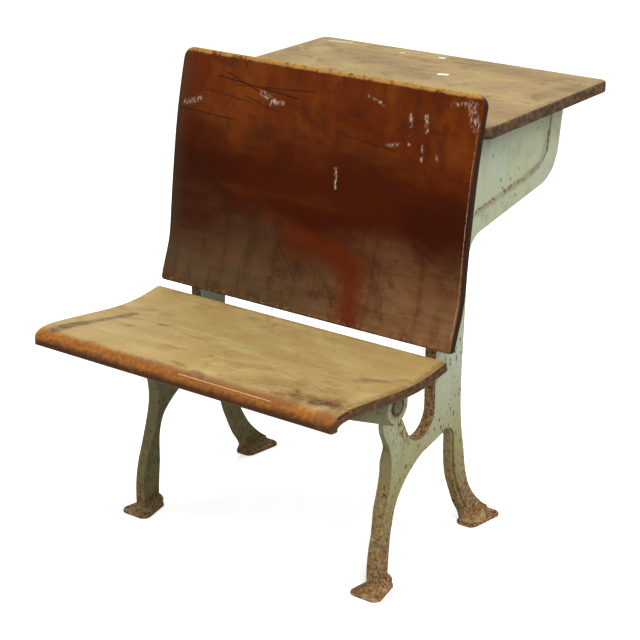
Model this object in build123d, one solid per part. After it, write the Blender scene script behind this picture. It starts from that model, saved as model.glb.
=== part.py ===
from build123d import *
import math
import os

# Tandem school desk: a folding seat and its back in front, and a book-box desk for the next pupil behind.
# Millimetres. X runs across the desk, -Y is the seat's front, +Z is up, Z = 0 is the floor.
# While it is drawn, Y = 0 is the front face of the posts. The finished pieces are then moved along Y
# so that the whole desk is centred on the origin.

# Two side castings
standard_spacing = 456.0        # between the middles of the two castings
casting_width = 19.0            # across the flanges
plate_thickness = 8.0           # outer wall of the upper casting, and the web of a leg
flange_thickness = 7.0
web_recess = 5.5                # how far a leg's web lies behind the flange edge
rebate_width = 5.0              # step along the outer front corner of the rear leg, across the casting
rebate_head_depth = 3.0         # how far that step lies back at the head of the arch
rebate_foot_depth = 8.0         # and at the floor
leg_flange_width = 22.0         # front leg's flange, wider than the casting on its inner side
ankle_flange_width = 16.5       # the same flange near the floor
post_depth = 76.0
pivot_height = 290.0
pivot_forward = 101.0           # seat pivot ahead of the post's front face
knuckle_radius = 26.5
knuckle_recess_radius = 16.0
knuckle_recess_depth = 3.0
shoulder_drop = 29.5            # from the pivot square down to the arm's lower edge
shoulder_angle = 24.5           # degrees, the arm's lower edge against the floor
head_reach = 27.0               # shoulder tip ahead of the point square below the pivot
stop_gap = 0.2                  # between the arm's lower edge and the shoulder it comes to rest on
notch_radius = 38.0
notch_drop = 37.0               # centre of the notch below the pivot
front_reach = 153.5             # front leg at the floor, ahead of the post's front face
front_leg_width = 41.0
rear_reach = 172.0              # rear leg at the floor, behind the post's front face
rear_leg_width = 58.0
arch_drop = 13.0                # top of the arch below the bottom of the notch
knee_drop = 102.0               # below the pivot, where the front leg's flange starts to narrow
knee_rise = 64.0                # over which it narrows
ankle_drop = 206.0              # below the pivot, where it starts to widen from its foot
ankle_rise = 58.0               # over which it widens
arch_corner_radius = 24.0
cut_overrun = 1.0               # how far every cutting shape runs past the surface that it cuts
offset_step = 21.0              # between the points of a line that runs beside a curve
seat_line_steps = 38            # points of a line beside the seat, whose front edge is rolled
share_halvings = 20
full_turn = 360                 # degrees

# Feet
pad_thickness = 5.0
pad_toe_width = 58.0
pad_heel_width = 33.0
pad_corner_radius = 12.0
pad_edge_chamfer = 1.5
front_toe_reach = 22.0          # pad ahead of the front leg
rear_toe_reach = 14.0           # pad behind the rear leg
heel_margin = 1.5               # pad past the arch side of a leg
flare_height = 12.0             # casting swells from the pad up into the leg
foot_hole_radius = 3.5
foot_hole_spacing = 40.0
foot_hole_inset = 11.0          # from the toe of the pad
foot_boss_radius = 6.0
foot_boss_height = 3.0

# Book-box end of a casting
desk_height = 680.0
desk_thickness = 19.0
box_end_reach = 365.0           # rear top corner, behind the post's front face
box_end_corner = 343.5          # where the rear and lower edges would meet
box_drop = 123.5                # from under the desk top down to that corner
box_floor_fall = 41.0           # how much lower the edge is where it would meet the post
post_lean = 10.0                # post's rear edge leans back this much under the book box
box_corner_radius = 62.0
post_corner_radius = 40.0
rim_width = 34.0
panel_recess = 2.5
panel_corner_radius = 38.0
box_top_flange = 26.0           # inward width of the seating for the desk top
back_flange = 26.0              # inward width of the seating for the back board
ledge_width = 22.0              # inward width of the ledge under the shelf

# Boards
desk_width = 560.0
desk_depth = 368.0
desk_setback = 63.0             # near edge of the desk top behind the post's front face
desk_corner_radius = 14.5
desk_edge_round = 4.0
seat_width = 560.0
seat_depth = 285.5
seat_thickness = 16.0
seat_camber = 20.0              # rise of the seat from its hollow to its front
seat_above_pivot = 44.0         # middle of the board over the pivot, in the hollow
seat_rear_gap = 32.0            # rear edge ahead of the post's front face
seat_front_corner_radius = 12.0
seat_rear_corner_radius = 6.0
seat_corner_margin = 1.0        # between the nose and the plan that rounds its corners
seat_edge_round = 3.5
back_width = 560.0
back_rise = 373.0
back_lean = 79.0
back_thickness = 15.0
back_foot_height = 356.0        # lower edge of the back board above the floor
back_foot_forward = 21.5        # its middle there, ahead of the post's front face
back_top_corner_radius = 18.5
back_foot_corner_radius = 6.0
back_edge_round = 4.0
board_seat_gap = 0.2            # between a bent board and the casting that carries it

# Profiles of the bent boards, from the rear edge forward and from the lower edge up
seat_profile_shares = (
    (0.0, 0.35), (0.09, 0.19), (0.165, 0.07), (0.25, 0.015), (0.35, 0.065), (0.50, 0.29),
    (0.66, 0.60), (0.825, 0.90), (0.905, 1.0), (0.95, 0.965), (0.98, 0.83), (0.996, 0.64),
    (1.0, 0.44), (1.0, 0.26),
)
back_profile_shares = (
    (0.0, 0.0), (0.146, 0.09), (0.285, 0.174), (0.354, 0.26), (0.434, 0.40),
    (0.52, 0.53), (0.645, 0.695), (0.80, 0.845), (1.0, 1.0),
)

# Book shelf
shelf_thickness = 10.0
shelf_side_gap = 1.0
shelf_front_reach = 12.0        # ahead of the corner of the post and the box's lower edge
shelf_rear_reach = 176.0        # behind it
shelf_end_round = 3.0

# Seat arms
arm_front_reach = 167.0         # front end of the arm ahead of the pivot
arm_rear_reach = 50.0           # rear end of its flange behind the pivot
arm_flange_thickness = 7.0
arm_flange_width = 34.0
arm_hub_radius = 24.0
arm_hub_length = 18.0
arm_neck_reach = 46.0           # solid neck ahead of the pivot
arm_neck_rear = 9.0             # and behind it
arm_running_gap = 1.2           # between the arm's hollow end and the knuckle
side_running_gap = 0.3          # between the hub and the knuckle's inner face
arm_front_round = 6.0

# Pivot bolts, washers and nuts
bolt_radius = 5.0
bolt_running_clearance = 0.06
bolt_hole_clearance = 0.15
bolt_head_radius = 12.0
bolt_head_height = 4.5
bolt_head_chamfer = 2.0
bolt_tip = 4.0                  # thread standing out past the nut
bolt_tip_chamfer = 1.0
washer_radius = 12.0
washer_thickness = 2.0
nut_across_flats = 16.0
nut_thickness = 8.0
nut_chamfer = 1.0
thread_clearance = 0.05

# Wood screws, all of one size but for their reach into the board
screw_radius = 2.4
screw_head_radius = 4.8
screw_head_height = 2.8
screw_head_chamfer = 1.4
screw_clearance = 0.1
screw_hole_clearance = 0.4
screw_slot_width = 1.0
screw_slot_depth = 1.2
seat_screw_reach = 11.0
back_screw_reach = 10.0
desk_screw_reach = 13.0
shelf_screw_reach = 7.0
spot_face_depth = 0.5
seat_screw_shares = (0.085, 0.60, 0.80)
back_screw_shares = (0.20, 0.47, 0.74)
desk_screw_shares = (0.12, 0.5, 0.88)
shelf_screw_shares = (0.15, 0.85)

# Leg outlines. The first number is a share of the sideways run from post or pivot to the floor,
# the second a share of the height: of the pivot for the front leg, of the arch for the rear one.
front_leg_front_shares = (
    (1.0, 0.0), (0.985, 0.176), (0.93, 0.24), (0.755, 0.345), (0.61, 0.414), (0.47, 0.49),
    (0.34, 0.565), (0.265, 0.64), (0.265, 0.705), (0.35, 0.78), (0.50, 0.83), (0.66, 0.885),
)
front_leg_rear_shares = (
    (0.0, 0.0), (0.015, 0.138), (0.05, 0.225), (0.085, 0.31), (0.13, 0.405), (0.22, 0.474),
    (0.336, 0.522), (0.483, 0.56), (0.682, 0.598), (0.882, 0.628), (1.07, 0.65),
)
rear_leg_front_shares = (
    (0.01, 0.741), (0.08, 0.579), (0.24, 0.453), (0.40, 0.356), (0.59, 0.247), (0.86, 0.134), (1.03, 0.0),
)
rear_leg_rear_shares = (
    (0.0, 1.235), (0.05, 0.94), (0.125, 0.767), (0.27, 0.529), (0.365, 0.425), (0.53, 0.297),
    (0.78, 0.168), (1.0, 0.079),
)
rear_leg_top_share = 0.757           # of the post's depth, where the rear leg's arch side starts
web_ramp_shares = (0.38, 0.75)       # of the arch height, where the outer wall steps in to the web
flange_head_share = 0.47             # of the casting width that the front flange keeps at the shoulder
back_seat_shares = (0.115, 0.81)     # part of the back board's height that the casting carries
flare_waist_share = 0.35             # height of the middle section of a foot's flare
flare_waist_width_share = 0.62       # how far the flare has drawn in there

# Planes and lines worked out from the sizes above
casting_middle = standard_spacing / 2
outer_face = casting_middle + casting_width / 2
inner_edge = casting_middle - casting_width / 2
plate_inner_face = outer_face - plate_thickness
leg_web_outer = outer_face - web_recess
leg_web_inner = leg_web_outer - plate_thickness
desk_underside = desk_height - desk_thickness
pivot_y = -pivot_forward
notch_y = -notch_radius
notch_z = pivot_height - notch_drop
arch_height = notch_z - notch_radius - arch_drop
slope = math.radians(shoulder_angle)
seat_rear_y = -seat_rear_gap
seat_middle_low = pivot_height + seat_above_pivot
desk_rear_y = desk_setback + desk_depth


def board_curve(shares, origin, run, rise):
    """Middle line of a bent board, drawn through shares of its run and rise."""
    return Spline(*[(origin[0] + run * a, origin[1] + rise * b) for a, b in shares])


def normal_at(curve, share):
    """Unit vector square to a curve, on the left of its direction."""
    along = curve % share
    return Vector(-along.Y, along.X)


def beside(curve, share, distance):
    """Point at a distance from a curve, on its left."""
    return curve @ share + normal_at(curve, share) * distance


def line_beside(curve, distance, first, last, step):
    """Line that runs beside a curve at one distance on its left. A whole curve is its own line at none."""
    if distance == 0 and first == 0 and last == 1:
        return curve
    steps = max(round(curve.length * (last - first) / step), 4)
    shares = [first + (last - first) * i / steps for i in range(steps + 1)]
    return Spline(*[beside(curve, share, distance) for share in shares])


def share_at(curve, y):
    """Share of a curve where it passes a Y, for a curve that runs towards -Y."""
    low, high = 0, 1
    for _ in range(share_halvings):
        middle = (low + high) / 2
        if (curve @ middle).X > y:
            low = middle
        else:
            high = middle
    return low


def band(curve, near, far, first=0, last=1, step=offset_step):
    """Face between two lines that run beside a curve, at the distances near and far on its left."""
    near_line = line_beside(curve, near, first, last, step)
    far_line = line_beside(curve, far, first, last, step)
    return between(near_line, far_line)


def between(near_line, far_line):
    """Face between two lines that run the same way."""
    ends = [Line(near_line @ share, far_line @ share) for share in (0, 1)]
    return make_face([near_line, ends[1], far_line, ends[0]])


def across(face, x_low, x_high):
    """Solid from a side-view face (its x is the desk's Y, its y the height) between two X planes."""
    placed = Plane.YZ.offset(x_low) * face
    return extrude(placed, x_high - x_low, dir=(1, 0, 0))


def along_depth(points, y_low, y_high):
    """Solid from a front-view outline (its x is the desk's X, its y the height) between two Y planes."""
    placed = Plane.XZ.offset(-y_high) * make_face(Polyline(*points, close=True))
    return extrude(placed, y_high - y_low, dir=(0, -1, 0))


def ring_sector(centre, inner, outer, start, sweep):
    """Side-view face of a ring between two angles in degrees."""
    return between(CenterArc(centre, inner, start, sweep), CenterArc(centre, outer, start, sweep))


def side_rectangle(y_low, y_high, z_low, z_high):
    """Side-view rectangle."""
    middle = ((y_low + y_high) / 2, (z_low + z_high) / 2)
    return Pos(*middle) * Rectangle(y_high - y_low, z_high - z_low)


def side_plane(point, direction, x):
    """Plane for a fastener: its Z axis points along a side-view direction, from a side-view point."""
    return Plane(origin=(x, point.X, point.Y), x_dir=(1, 0, 0), z_dir=(0, direction.X, direction.Y))


seat_curve = board_curve(seat_profile_shares, (seat_rear_y, seat_middle_low), -seat_depth, seat_camber)
back_curve = board_curve(back_profile_shares, (-back_foot_forward, back_foot_height), back_lean, back_rise)
seat_half = seat_thickness / 2
back_half = back_thickness / 2


def shoulder_point(ahead, drop):
    """Point by the arm's lower edge: a distance ahead of the pivot along it, a drop square to it."""
    y = pivot_y - drop * math.sin(slope) - ahead * math.cos(slope)
    z = pivot_height - drop * math.cos(slope) + ahead * math.sin(slope)
    return (y, z)


# Casting outlines, in side view

def front_leg_front():
    """Front edge of the front leg, from the floor to the tip of the shoulder."""
    run = front_reach - pivot_forward
    points = [(pivot_y - run * a, pivot_height * b) for a, b in front_leg_front_shares]
    return Spline(*points, shoulder_point(head_reach, shoulder_drop + stop_gap))


def front_leg_rear():
    """Arch side of the front leg, from the floor up into the arch."""
    foot_y = front_leg_width - front_reach
    reach = -foot_y - notch_radius
    return Spline(*[(foot_y + reach * a, pivot_height * b) for a, b in front_leg_rear_shares])


def rear_leg_front():
    """Arch side of the rear leg, from the arch down to the floor."""
    top_y = post_depth * rear_leg_top_share
    run = rear_reach - rear_leg_width - top_y
    points = [(top_y + run * a, arch_height * b) for a, b in rear_leg_front_shares]
    foot_way = Vector(points[-1]) - Vector(points[-2])
    return Spline((top_y, arch_height - arch_corner_radius), *points, tangents=[(0, -1), foot_way])


def rear_leg_rear():
    """Rear edge of the rear leg, from the post down to its heel."""
    run = rear_reach - post_depth
    return Spline(*[(post_depth + run * a, arch_height * b) for a, b in rear_leg_rear_shares])


def arch_head():
    """Centre and sweep of the arch's round head, from the rear leg over to the front leg's side."""
    start = rear_leg_front() @ 0
    centre = Vector(start.X - arch_corner_radius, start.Y)
    away = centre - front_leg_rear() @ 1
    distance = math.hypot(away.X, away.Y)
    turn = math.atan2(away.Y, away.X) + math.asin(arch_corner_radius / distance)
    return centre, math.degrees(turn) + 90


def notch_arc():
    """Start and sweep of the notch's round floor, in degrees, from the wall that leans up to the pivot."""
    away = Vector(pivot_y - notch_y, pivot_height - notch_z)
    turn = math.atan2(away.Y, away.X) + math.acos(notch_radius / away.length)
    start = math.degrees(turn)
    return start, full_turn - start


def box_edge():
    """Rear and lower edge of the book-box end, from under the desk top round to the post."""
    corner_z = desk_underside - box_drop
    return FilletPolyline(
        (box_end_reach, desk_underside),
        (box_end_corner, corner_z),
        (post_depth + post_lean, corner_z - box_floor_fall),
        (post_depth, pivot_height),
        radius=[box_corner_radius, post_corner_radius],
    )


def casting_outline():
    """Whole side view of a casting, legs and book-box end together."""
    front = front_leg_front()
    front_rear = front_leg_rear()
    rear_front = rear_leg_front()
    rear_rear = rear_leg_rear()
    arch_centre, arch_sweep = arch_head()
    arc = CenterArc(arch_centre, arch_corner_radius, 0, arch_sweep)
    box = box_edge()
    shoulder = shoulder_point(-arm_running_gap, shoulder_drop + stop_gap)
    notch_start, notch_sweep = notch_arc()
    notch = CenterArc((notch_y, notch_z), notch_radius, notch_start, notch_sweep)
    first, last = back_seat_shares
    foot = (0, (back_curve @ first).Y)
    seating = Spline(*[back_curve @ (first + (last - first) * i / 4) for i in range(5)])
    top = ((seating @ 1).X, desk_underside)
    edges = [
        front,
        Line(front @ 1, shoulder),
        Line(shoulder, (pivot_y, pivot_height)),
        Line((pivot_y, pivot_height), notch @ 0),
        notch,
        Line(notch @ 1, foot),
        Line(foot, seating @ 0),
        seating,
        Line(seating @ 1, top),
        Line(top, box @ 0),
        *box.edges(),
        Line(box @ 1, rear_rear @ 0),
        rear_rear,
        Line(rear_rear @ 1, (rear_reach, 0)),
        Line((rear_reach, 0), rear_front @ 1),
        rear_front,
        arc,
        Line(arc @ 1, front_rear @ 1),
        front_rear,
        Line(front_rear @ 0, front @ 0),
    ]
    return make_face(edges)


def wall_section():
    """Wall of the casting cut across: flush with the flanges above, set back from them in the legs."""
    low, high = [arch_height * share for share in web_ramp_shares]
    points = [
        (plate_inner_face, desk_height), (outer_face, desk_height), (outer_face, high),
        (leg_web_outer, low), (leg_web_outer, -cut_overrun), (leg_web_inner, -cut_overrun),
        (leg_web_inner, low), (plate_inner_face, high),
    ]
    return along_depth(points, -front_reach - cut_overrun, box_end_reach + cut_overrun)


def flanges():
    """Flanges that stiffen the edges, as wide as the casting."""
    arch_centre, arch_sweep = arch_head()
    arch_outer = arch_corner_radius + flange_thickness
    notch_start, notch_sweep = notch_arc()
    notch_outer = notch_radius + flange_thickness
    back_foot = (back_curve @ back_seat_shares[0]).Y
    faces = [
        band(rear_leg_front(), 0, flange_thickness),
        ring_sector(arch_centre, arch_corner_radius, arch_outer, 0, arch_sweep),
        ring_sector((notch_y, notch_z), notch_radius, notch_outer, notch_start, notch_sweep),
        neck_flange(),
        side_rectangle(0, flange_thickness, notch_z, back_foot),
    ]
    return [across(face, inner_edge, outer_face) for face in faces]


def neck_flange():
    """Side view of the flange along the notch's leaning wall, from its round floor up to the pivot."""
    start, sweep = notch_arc()
    out = Vector(math.cos(math.radians(start)), math.sin(math.radians(start)))
    foot = Vector(notch_y, notch_z) + out * notch_radius
    head = Vector(pivot_y, pivot_height)
    points = [foot, head, head + out * flange_thickness, foot + out * flange_thickness]
    return make_face(Polyline(*points, close=True))


def front_flange():
    """Front flange of the front leg. It narrows from its inner side near the shoulder and near the floor."""
    face = band(front_leg_front(), 0, -flange_thickness) & casting_outline()
    flange = across(face, outer_face - leg_flange_width, outer_face)
    low = outer_face - leg_flange_width - cut_overrun
    narrow = outer_face - casting_width * flange_head_share
    knee = pivot_height - knee_drop
    taper = Spline((low, knee), (narrow, knee + knee_rise), tangents=[(0, 1), (0, 1)])
    edge = [taper, Line(taper @ 1, (narrow, pivot_height)), Line((narrow, pivot_height), (low, pivot_height)),
            Line((low, pivot_height), taper @ 0)]
    foot_side = outer_face - ankle_flange_width
    ankle = pivot_height - ankle_drop
    swell = Spline((foot_side, ankle), (low, ankle + ankle_rise), tangents=[(0, 1), (0, 1)])
    below = -cut_overrun
    foot_edge = [swell, Line(swell @ 1, (low, below)), Line((low, below), (foot_side, below)),
                 Line((foot_side, below), swell @ 0)]
    for outline in (edge, foot_edge):
        placed = Plane.XZ.offset(-pivot_y) * make_face(outline)
        flange -= extrude(placed, front_reach - pivot_forward + cut_overrun, dir=(0, -1, 0))
    return flange


def back_seating():
    """Wide flange behind the back board. It starts inside the board, whose shape is cut from it later."""
    far = -back_half - board_seat_gap - flange_thickness
    first, last = back_seat_shares
    face = band(back_curve, -back_half / 2, far, first, last)
    return across(face, plate_inner_face - back_flange, outer_face)


def box_flanges():
    """Inward flange under the desk top, and the ledge that the shelf lies on."""
    top_start = (back_curve @ back_seat_shares[1]).X + back_half + flange_thickness
    top = side_rectangle(
        top_start, box_end_reach - rim_width / 2, desk_underside - flange_thickness, desk_underside)
    ledge = rim_line(-flange_thickness, 0)
    seat_for_top = across(top, plate_inner_face - box_top_flange, plate_inner_face)
    seat_for_shelf = across(ledge, plate_inner_face - ledge_width, plate_inner_face)
    return seat_for_top + seat_for_shelf


def box_floor():
    """Origin and direction of the line that the shelf lies on, from the post to the rear."""
    corner_z = desk_underside - box_drop
    rise = box_floor_fall
    run = box_end_corner - post_depth - post_lean
    length = math.hypot(run, rise)
    along = Vector(run / length, rise / length)
    square = Vector(-along.Y, along.X)
    start = Vector(post_depth + post_lean, corner_z - rise) + square * rim_width
    return start, along, square


def rim_line(low, high):
    """Side-view bar along the shelf line, between two distances square to it."""
    start, along, square = box_floor()
    first = start - along * shelf_front_reach
    last = start + along * shelf_rear_reach
    points = [first + square * low, last + square * low, last + square * high, first + square * high]
    return make_face(Polyline(*points, close=True))


def box_panel():
    """Shallow recess in the outer face of the book-box end, inside a proud rim."""
    start, along, square = box_floor()
    corner_z = desk_underside - box_drop
    rear = Vector(box_end_reach - box_end_corner, box_drop)
    rear_way = rear / math.hypot(rear.X, rear.Y)
    inward = Vector(-rear_way.Y, rear_way.X) * rim_width
    rear_foot = Vector(box_end_corner, corner_z) + inward
    gap = rear_foot - start
    reach = (gap.X * rear_way.Y - gap.Y * rear_way.X) / (along.X * rear_way.Y - along.Y * rear_way.X)
    corner = start + along * reach
    climb = (desk_underside + cut_overrun - corner.Y) / rear_way.Y
    top_rear = corner + rear_way * climb
    near = beside(back_curve, back_seat_shares[1], -back_half - flange_thickness - rim_width)
    front_foot = start - along * shelf_front_reach / 2
    edge = FilletPolyline(
        (near.X, top_rear.Y), (front_foot.X, front_foot.Y), (corner.X, corner.Y), (top_rear.X, top_rear.Y),
        radius=panel_corner_radius)
    face = make_face([*edge.edges(), Line(edge @ 1, edge @ 0)])
    return across(face, outer_face - panel_recess, outer_face + cut_overrun)


def leg_rebates():
    """Step along the rear leg's outer front corner, round the head of the arch and deeper down the leg."""
    curve = rear_leg_front()
    steps = round(curve.length / offset_step)
    near = Spline(*[beside(curve, i / steps, -cut_overrun) for i in range(steps + 1)])
    growth = rebate_foot_depth - rebate_head_depth
    depths = [rebate_head_depth + growth * i / steps for i in range(steps + 1)]
    far = Spline(*[beside(curve, i / steps, depth) for i, depth in enumerate(depths)])
    centre, sweep = arch_head()
    head_outer = arch_corner_radius + rebate_head_depth
    head = ring_sector(centre, arch_corner_radius - cut_overrun, head_outer, 0, sweep)
    faces = [between(near, far), head]
    return [across(face, outer_face - rebate_width, outer_face + cut_overrun) for face in faces]


# Feet

def pad_face(heel_y, toe_y, inset):
    """Plan of a foot pad: wider at the toe, with rounded corners."""
    way = math.copysign(1, toe_y - heel_y)
    toe = pad_toe_width / 2 - inset
    heel = pad_heel_width / 2 - inset
    near = heel_y + way * inset
    far = toe_y - way * inset
    points = [(-heel, near), (heel, near), (toe, far), (-toe, far)]
    outline = Polyline(*points, close=True)
    return fillet(make_face(outline).vertices(), pad_corner_radius - inset / 2)


def foot(heel_y, toe_y, leg_low, leg_high):
    """Foot pad with the swelling that carries it up into the leg."""
    way = math.copysign(1, toe_y - heel_y)
    pad = extrude(pad_face(heel_y, toe_y, 0), pad_thickness)
    pad = chamfer(pad.edges().group_by(Axis.Z)[-1], pad_edge_chamfer)
    middle = (leg_low + leg_high) / 2
    length = abs(leg_high - leg_low)
    base = pad_face(heel_y, toe_y - way * foot_hole_inset / 2, pad_edge_chamfer * 2)
    waist_length = length + (abs(toe_y - heel_y) - length) * (1 - flare_waist_width_share)
    waist_width = casting_width + (pad_heel_width - casting_width) * (1 - flare_waist_width_share)
    waist = Pos(0, middle) * RectangleRounded(waist_width, waist_length, waist_width / 4)
    top = Pos(0, middle) * RectangleRounded(casting_width, length, casting_width / 4)
    sections = [
        Pos(0, 0, pad_thickness - cut_overrun) * base,
        Pos(0, 0, pad_thickness + flare_height * flare_waist_share) * waist,
        Pos(0, 0, pad_thickness + flare_height) * top,
    ]
    hole_y = toe_y - way * foot_hole_inset
    boss = Pos(0, hole_y - way * foot_boss_radius, pad_thickness - cut_overrun) * Cylinder(
        foot_boss_radius, foot_boss_height + cut_overrun, align=(Align.CENTER, Align.CENTER, Align.MIN))
    solid = pad + loft(sections) + boss
    for side in (-1, 1):
        well = Pos(side * foot_hole_spacing / 2, hole_y, 0)
        solid -= well * Cylinder(foot_hole_radius, pad_thickness * 4)
        solid -= well * Pos(0, 0, pad_thickness) * Cylinder(
            foot_hole_radius * 2, flare_height, align=(Align.CENTER, Align.CENTER, Align.MIN))
    return Pos(casting_middle, 0, 0) * solid


# Castings

def back_body(grown):
    """Bent back board without its rounded corners and edges, made thicker by a gap on each side."""
    face = band(back_curve, back_half + grown, -back_half - grown)
    return across(face, -back_width / 2, back_width / 2)


def pivot_cylinder(radius, x_low, x_high):
    """Cylinder on the seat's pivot axis, between two X planes."""
    made = Cylinder(radius, x_high - x_low)
    return Pos((x_low + x_high) / 2, pivot_y, pivot_height) * Rot(0, 90, 0) * made


def casting():
    """Right-hand side casting with its feet."""
    outline = casting_outline()
    full = across(outline, inner_edge, outer_face)
    body = full & wall_section()
    for flange in flanges() + [front_flange()]:
        body += flange
    flange_side = outer_face - leg_flange_width - cut_overrun
    body -= pivot_cylinder(arm_hub_radius + arm_running_gap, flange_side, plate_inner_face)
    body += pivot_cylinder(knuckle_radius, plate_inner_face, outer_face)
    body += back_seating() + box_flanges()
    body -= back_body(board_seat_gap)
    for rebate in leg_rebates():
        body -= rebate
    body -= box_panel()
    body -= pivot_cylinder(knuckle_recess_radius, outer_face - knuckle_recess_depth, outer_face + cut_overrun)
    bolt_hole = bolt_radius + bolt_hole_clearance
    body -= pivot_cylinder(bolt_hole, plate_inner_face - cut_overrun, outer_face)
    front_heel = front_leg_width - front_reach
    rear_heel = rear_reach - rear_leg_width
    body += foot(front_heel + heel_margin, -front_reach - front_toe_reach, front_heel, -front_reach)
    body += foot(rear_heel - heel_margin, rear_reach + rear_toe_reach, rear_heel, rear_reach)
    for plane in back_screw_planes() + desk_screw_planes() + shelf_screw_planes():
        body -= screw_well(plane, flange_thickness)
    return body


# Seat arms

def seat_body(grown):
    """Bent seat board without its rounded corners and edges, made thicker by a gap on each side."""
    face = band(seat_curve, -seat_half - grown, seat_half + grown, step=seat_curve.length / seat_line_steps)
    return across(face, -seat_width / 2, seat_width / 2)


def above_arm():
    """Side-view face above the middle of the arm's flange, where the arm's other walls end."""
    depth = seat_half + board_seat_gap + arm_flange_thickness / 2
    last = share_at(seat_curve, pivot_y - arm_front_reach - arm_flange_thickness)
    return band(seat_curve, -seat_above_pivot, depth, 0, last)


def arm_web():
    """Side view of the arm's outer wall, with a hollow end that clears the knuckle."""
    front_y = pivot_y - arm_front_reach
    rear_y = pivot_y + arm_rear_reach
    top_z = seat_middle_low
    arc = knuckle_radius + arm_running_gap
    tail = seat_middle_low - seat_half
    points = [
        shoulder_point(0, shoulder_drop), shoulder_point(arm_front_reach, shoulder_drop),
        (front_y, top_z + seat_camber), (rear_y, top_z), (rear_y, tail),
        (pivot_y, pivot_height + knuckle_radius), (pivot_y, pivot_height),
    ]
    face = make_face(Polyline(*points, close=True))
    return face - Pos(pivot_y, pivot_height) * Circle(arc) - above_arm()


def arm_neck():
    """Side view of the thick neck between the arm's hub and its flange."""
    points = [
        (pivot_y, pivot_height), shoulder_point(0, arm_hub_radius),
        shoulder_point(arm_neck_reach, arm_hub_radius),
        (pivot_y - arm_neck_reach, seat_middle_low), (pivot_y + arm_neck_rear, seat_middle_low),
        (pivot_y + arm_neck_rear, pivot_height),
    ]
    return make_face(Polyline(*points, close=True)) - above_arm()


def seat_arm():
    """Right-hand seat arm: outer wall, flange under the seat, neck and hub."""
    front_y = pivot_y - arm_front_reach
    rear_y = pivot_y + arm_rear_reach
    near = seat_half + board_seat_gap
    first, last = share_at(seat_curve, rear_y), share_at(seat_curve, front_y)
    flange = band(seat_curve, near, near + arm_flange_thickness, first, last)
    hub_outer = plate_inner_face - side_running_gap
    hub_inner = hub_outer - arm_hub_length
    arm = across(flange, outer_face - arm_flange_width, outer_face)
    front_end = arm.faces().sort_by(Axis.Y)[0]
    arm = fillet(front_end.edges().sort_by(SortBy.LENGTH)[:2], arm_front_round)
    arm += across(arm_web(), plate_inner_face, outer_face)
    arm += across(arm_neck(), hub_inner, hub_outer)
    web_rear = pivot_y - knuckle_radius - arm_running_gap
    ahead = side_rectangle(front_y, web_rear, pivot_height, seat_middle_low)
    arm += across(ahead & arm_neck(), hub_outer, plate_inner_face)
    arm += pivot_cylinder(arm_hub_radius, hub_inner, hub_outer)
    bore = bolt_radius + bolt_running_clearance
    arm -= pivot_cylinder(bore, hub_inner - cut_overrun, hub_outer + cut_overrun)
    for plane in seat_screw_planes():
        arm -= screw_well(plane, arm_flange_thickness)
    return arm


# Boards

def seat_board():
    """Bent seat, hollowed for the sitter, its front edge rolled down."""
    board = rounded_end(seat_body(0) & seat_plan(), Axis.Y, seat_rear_corner_radius)
    board = softened(board, seat_edge_round)
    return piloted(board, seat_screw_planes(), arm_flange_thickness + seat_screw_reach)


def back_board():
    """Bent back board."""
    board = rounded_end(back_body(0), Axis.Z, back_top_corner_radius)
    board = rounded_end(board, -Axis.Z, back_foot_corner_radius)
    board = softened(board, back_edge_round)
    return piloted(board, back_screw_planes(), flange_thickness + back_screw_reach)


def rounded_end(board, axis, radius):
    """Board with the two corners of its far end along an axis rounded."""
    corners = board.edges().filter_by(GeomType.LINE).filter_by(Axis.X, reverse=True).sort_by(axis)
    return fillet(corners[-2:], radius)


def softened(board, edge_round):
    """Board with the edges of its two large faces rounded."""
    rims = [face.outer_wire().edges() for face in board.faces().sort_by(SortBy.AREA)[-2:]]
    return fillet(rims[0] + rims[1], edge_round)


def seat_plan():
    """Upright block over the seat, whose two front edges round the corners of the rolled nose."""
    front = seat_rear_y - seat_depth - seat_half - seat_corner_margin
    depth = -front
    plan = Rectangle(seat_width, depth)
    plan = fillet(plan.vertices().group_by(Axis.Y)[0], seat_front_corner_radius)
    return Pos(0, -depth / 2, pivot_height) * extrude(plan, desk_underside - pivot_height)


def desk_top():
    """Flat desk top with a rounded edge."""
    middle = Pos(0, desk_setback + desk_depth / 2, desk_underside)
    plan = RectangleRounded(desk_width, desk_depth, desk_corner_radius)
    board = middle * extrude(plan, desk_thickness)
    rims = board.edges().group_by(Axis.Z)
    board = fillet(rims[0] + rims[-1], desk_edge_round)
    return piloted(board, desk_screw_planes(), flange_thickness + desk_screw_reach)


def book_shelf():
    """Flat shelf between the castings, lying on their ledges."""
    half_width = plate_inner_face - shelf_side_gap
    board = across(rim_line(0, shelf_thickness), -half_width, half_width)
    ends = board.edges().filter_by(Axis.X)
    board = fillet(ends, shelf_end_round)
    return piloted(board, shelf_screw_planes(), flange_thickness + shelf_screw_reach)


# Fasteners

def screw_planes(points, directions, x):
    """Planes for a row of screws, each at its head's seat with Z along the shank."""
    return [side_plane(point, direction, x) for point, direction in zip(points, directions)]


def seat_screw_planes():
    """Screws up through a seat arm's flange into the seat."""
    drop = seat_half + board_seat_gap + arm_flange_thickness
    x = plate_inner_face - (arm_flange_width - plate_thickness) / 2
    points = [beside(seat_curve, share, drop) for share in seat_screw_shares]
    return screw_planes(points, [-normal_at(seat_curve, share) for share in seat_screw_shares], x)


def back_screw_planes():
    """Screws forward through a casting's wide flange into the back board."""
    depth = -back_half - board_seat_gap - flange_thickness
    points = [beside(back_curve, share, depth) for share in back_screw_shares]
    directions = [normal_at(back_curve, share) for share in back_screw_shares]
    return screw_planes(points, directions, plate_inner_face - back_flange / 2)


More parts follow.
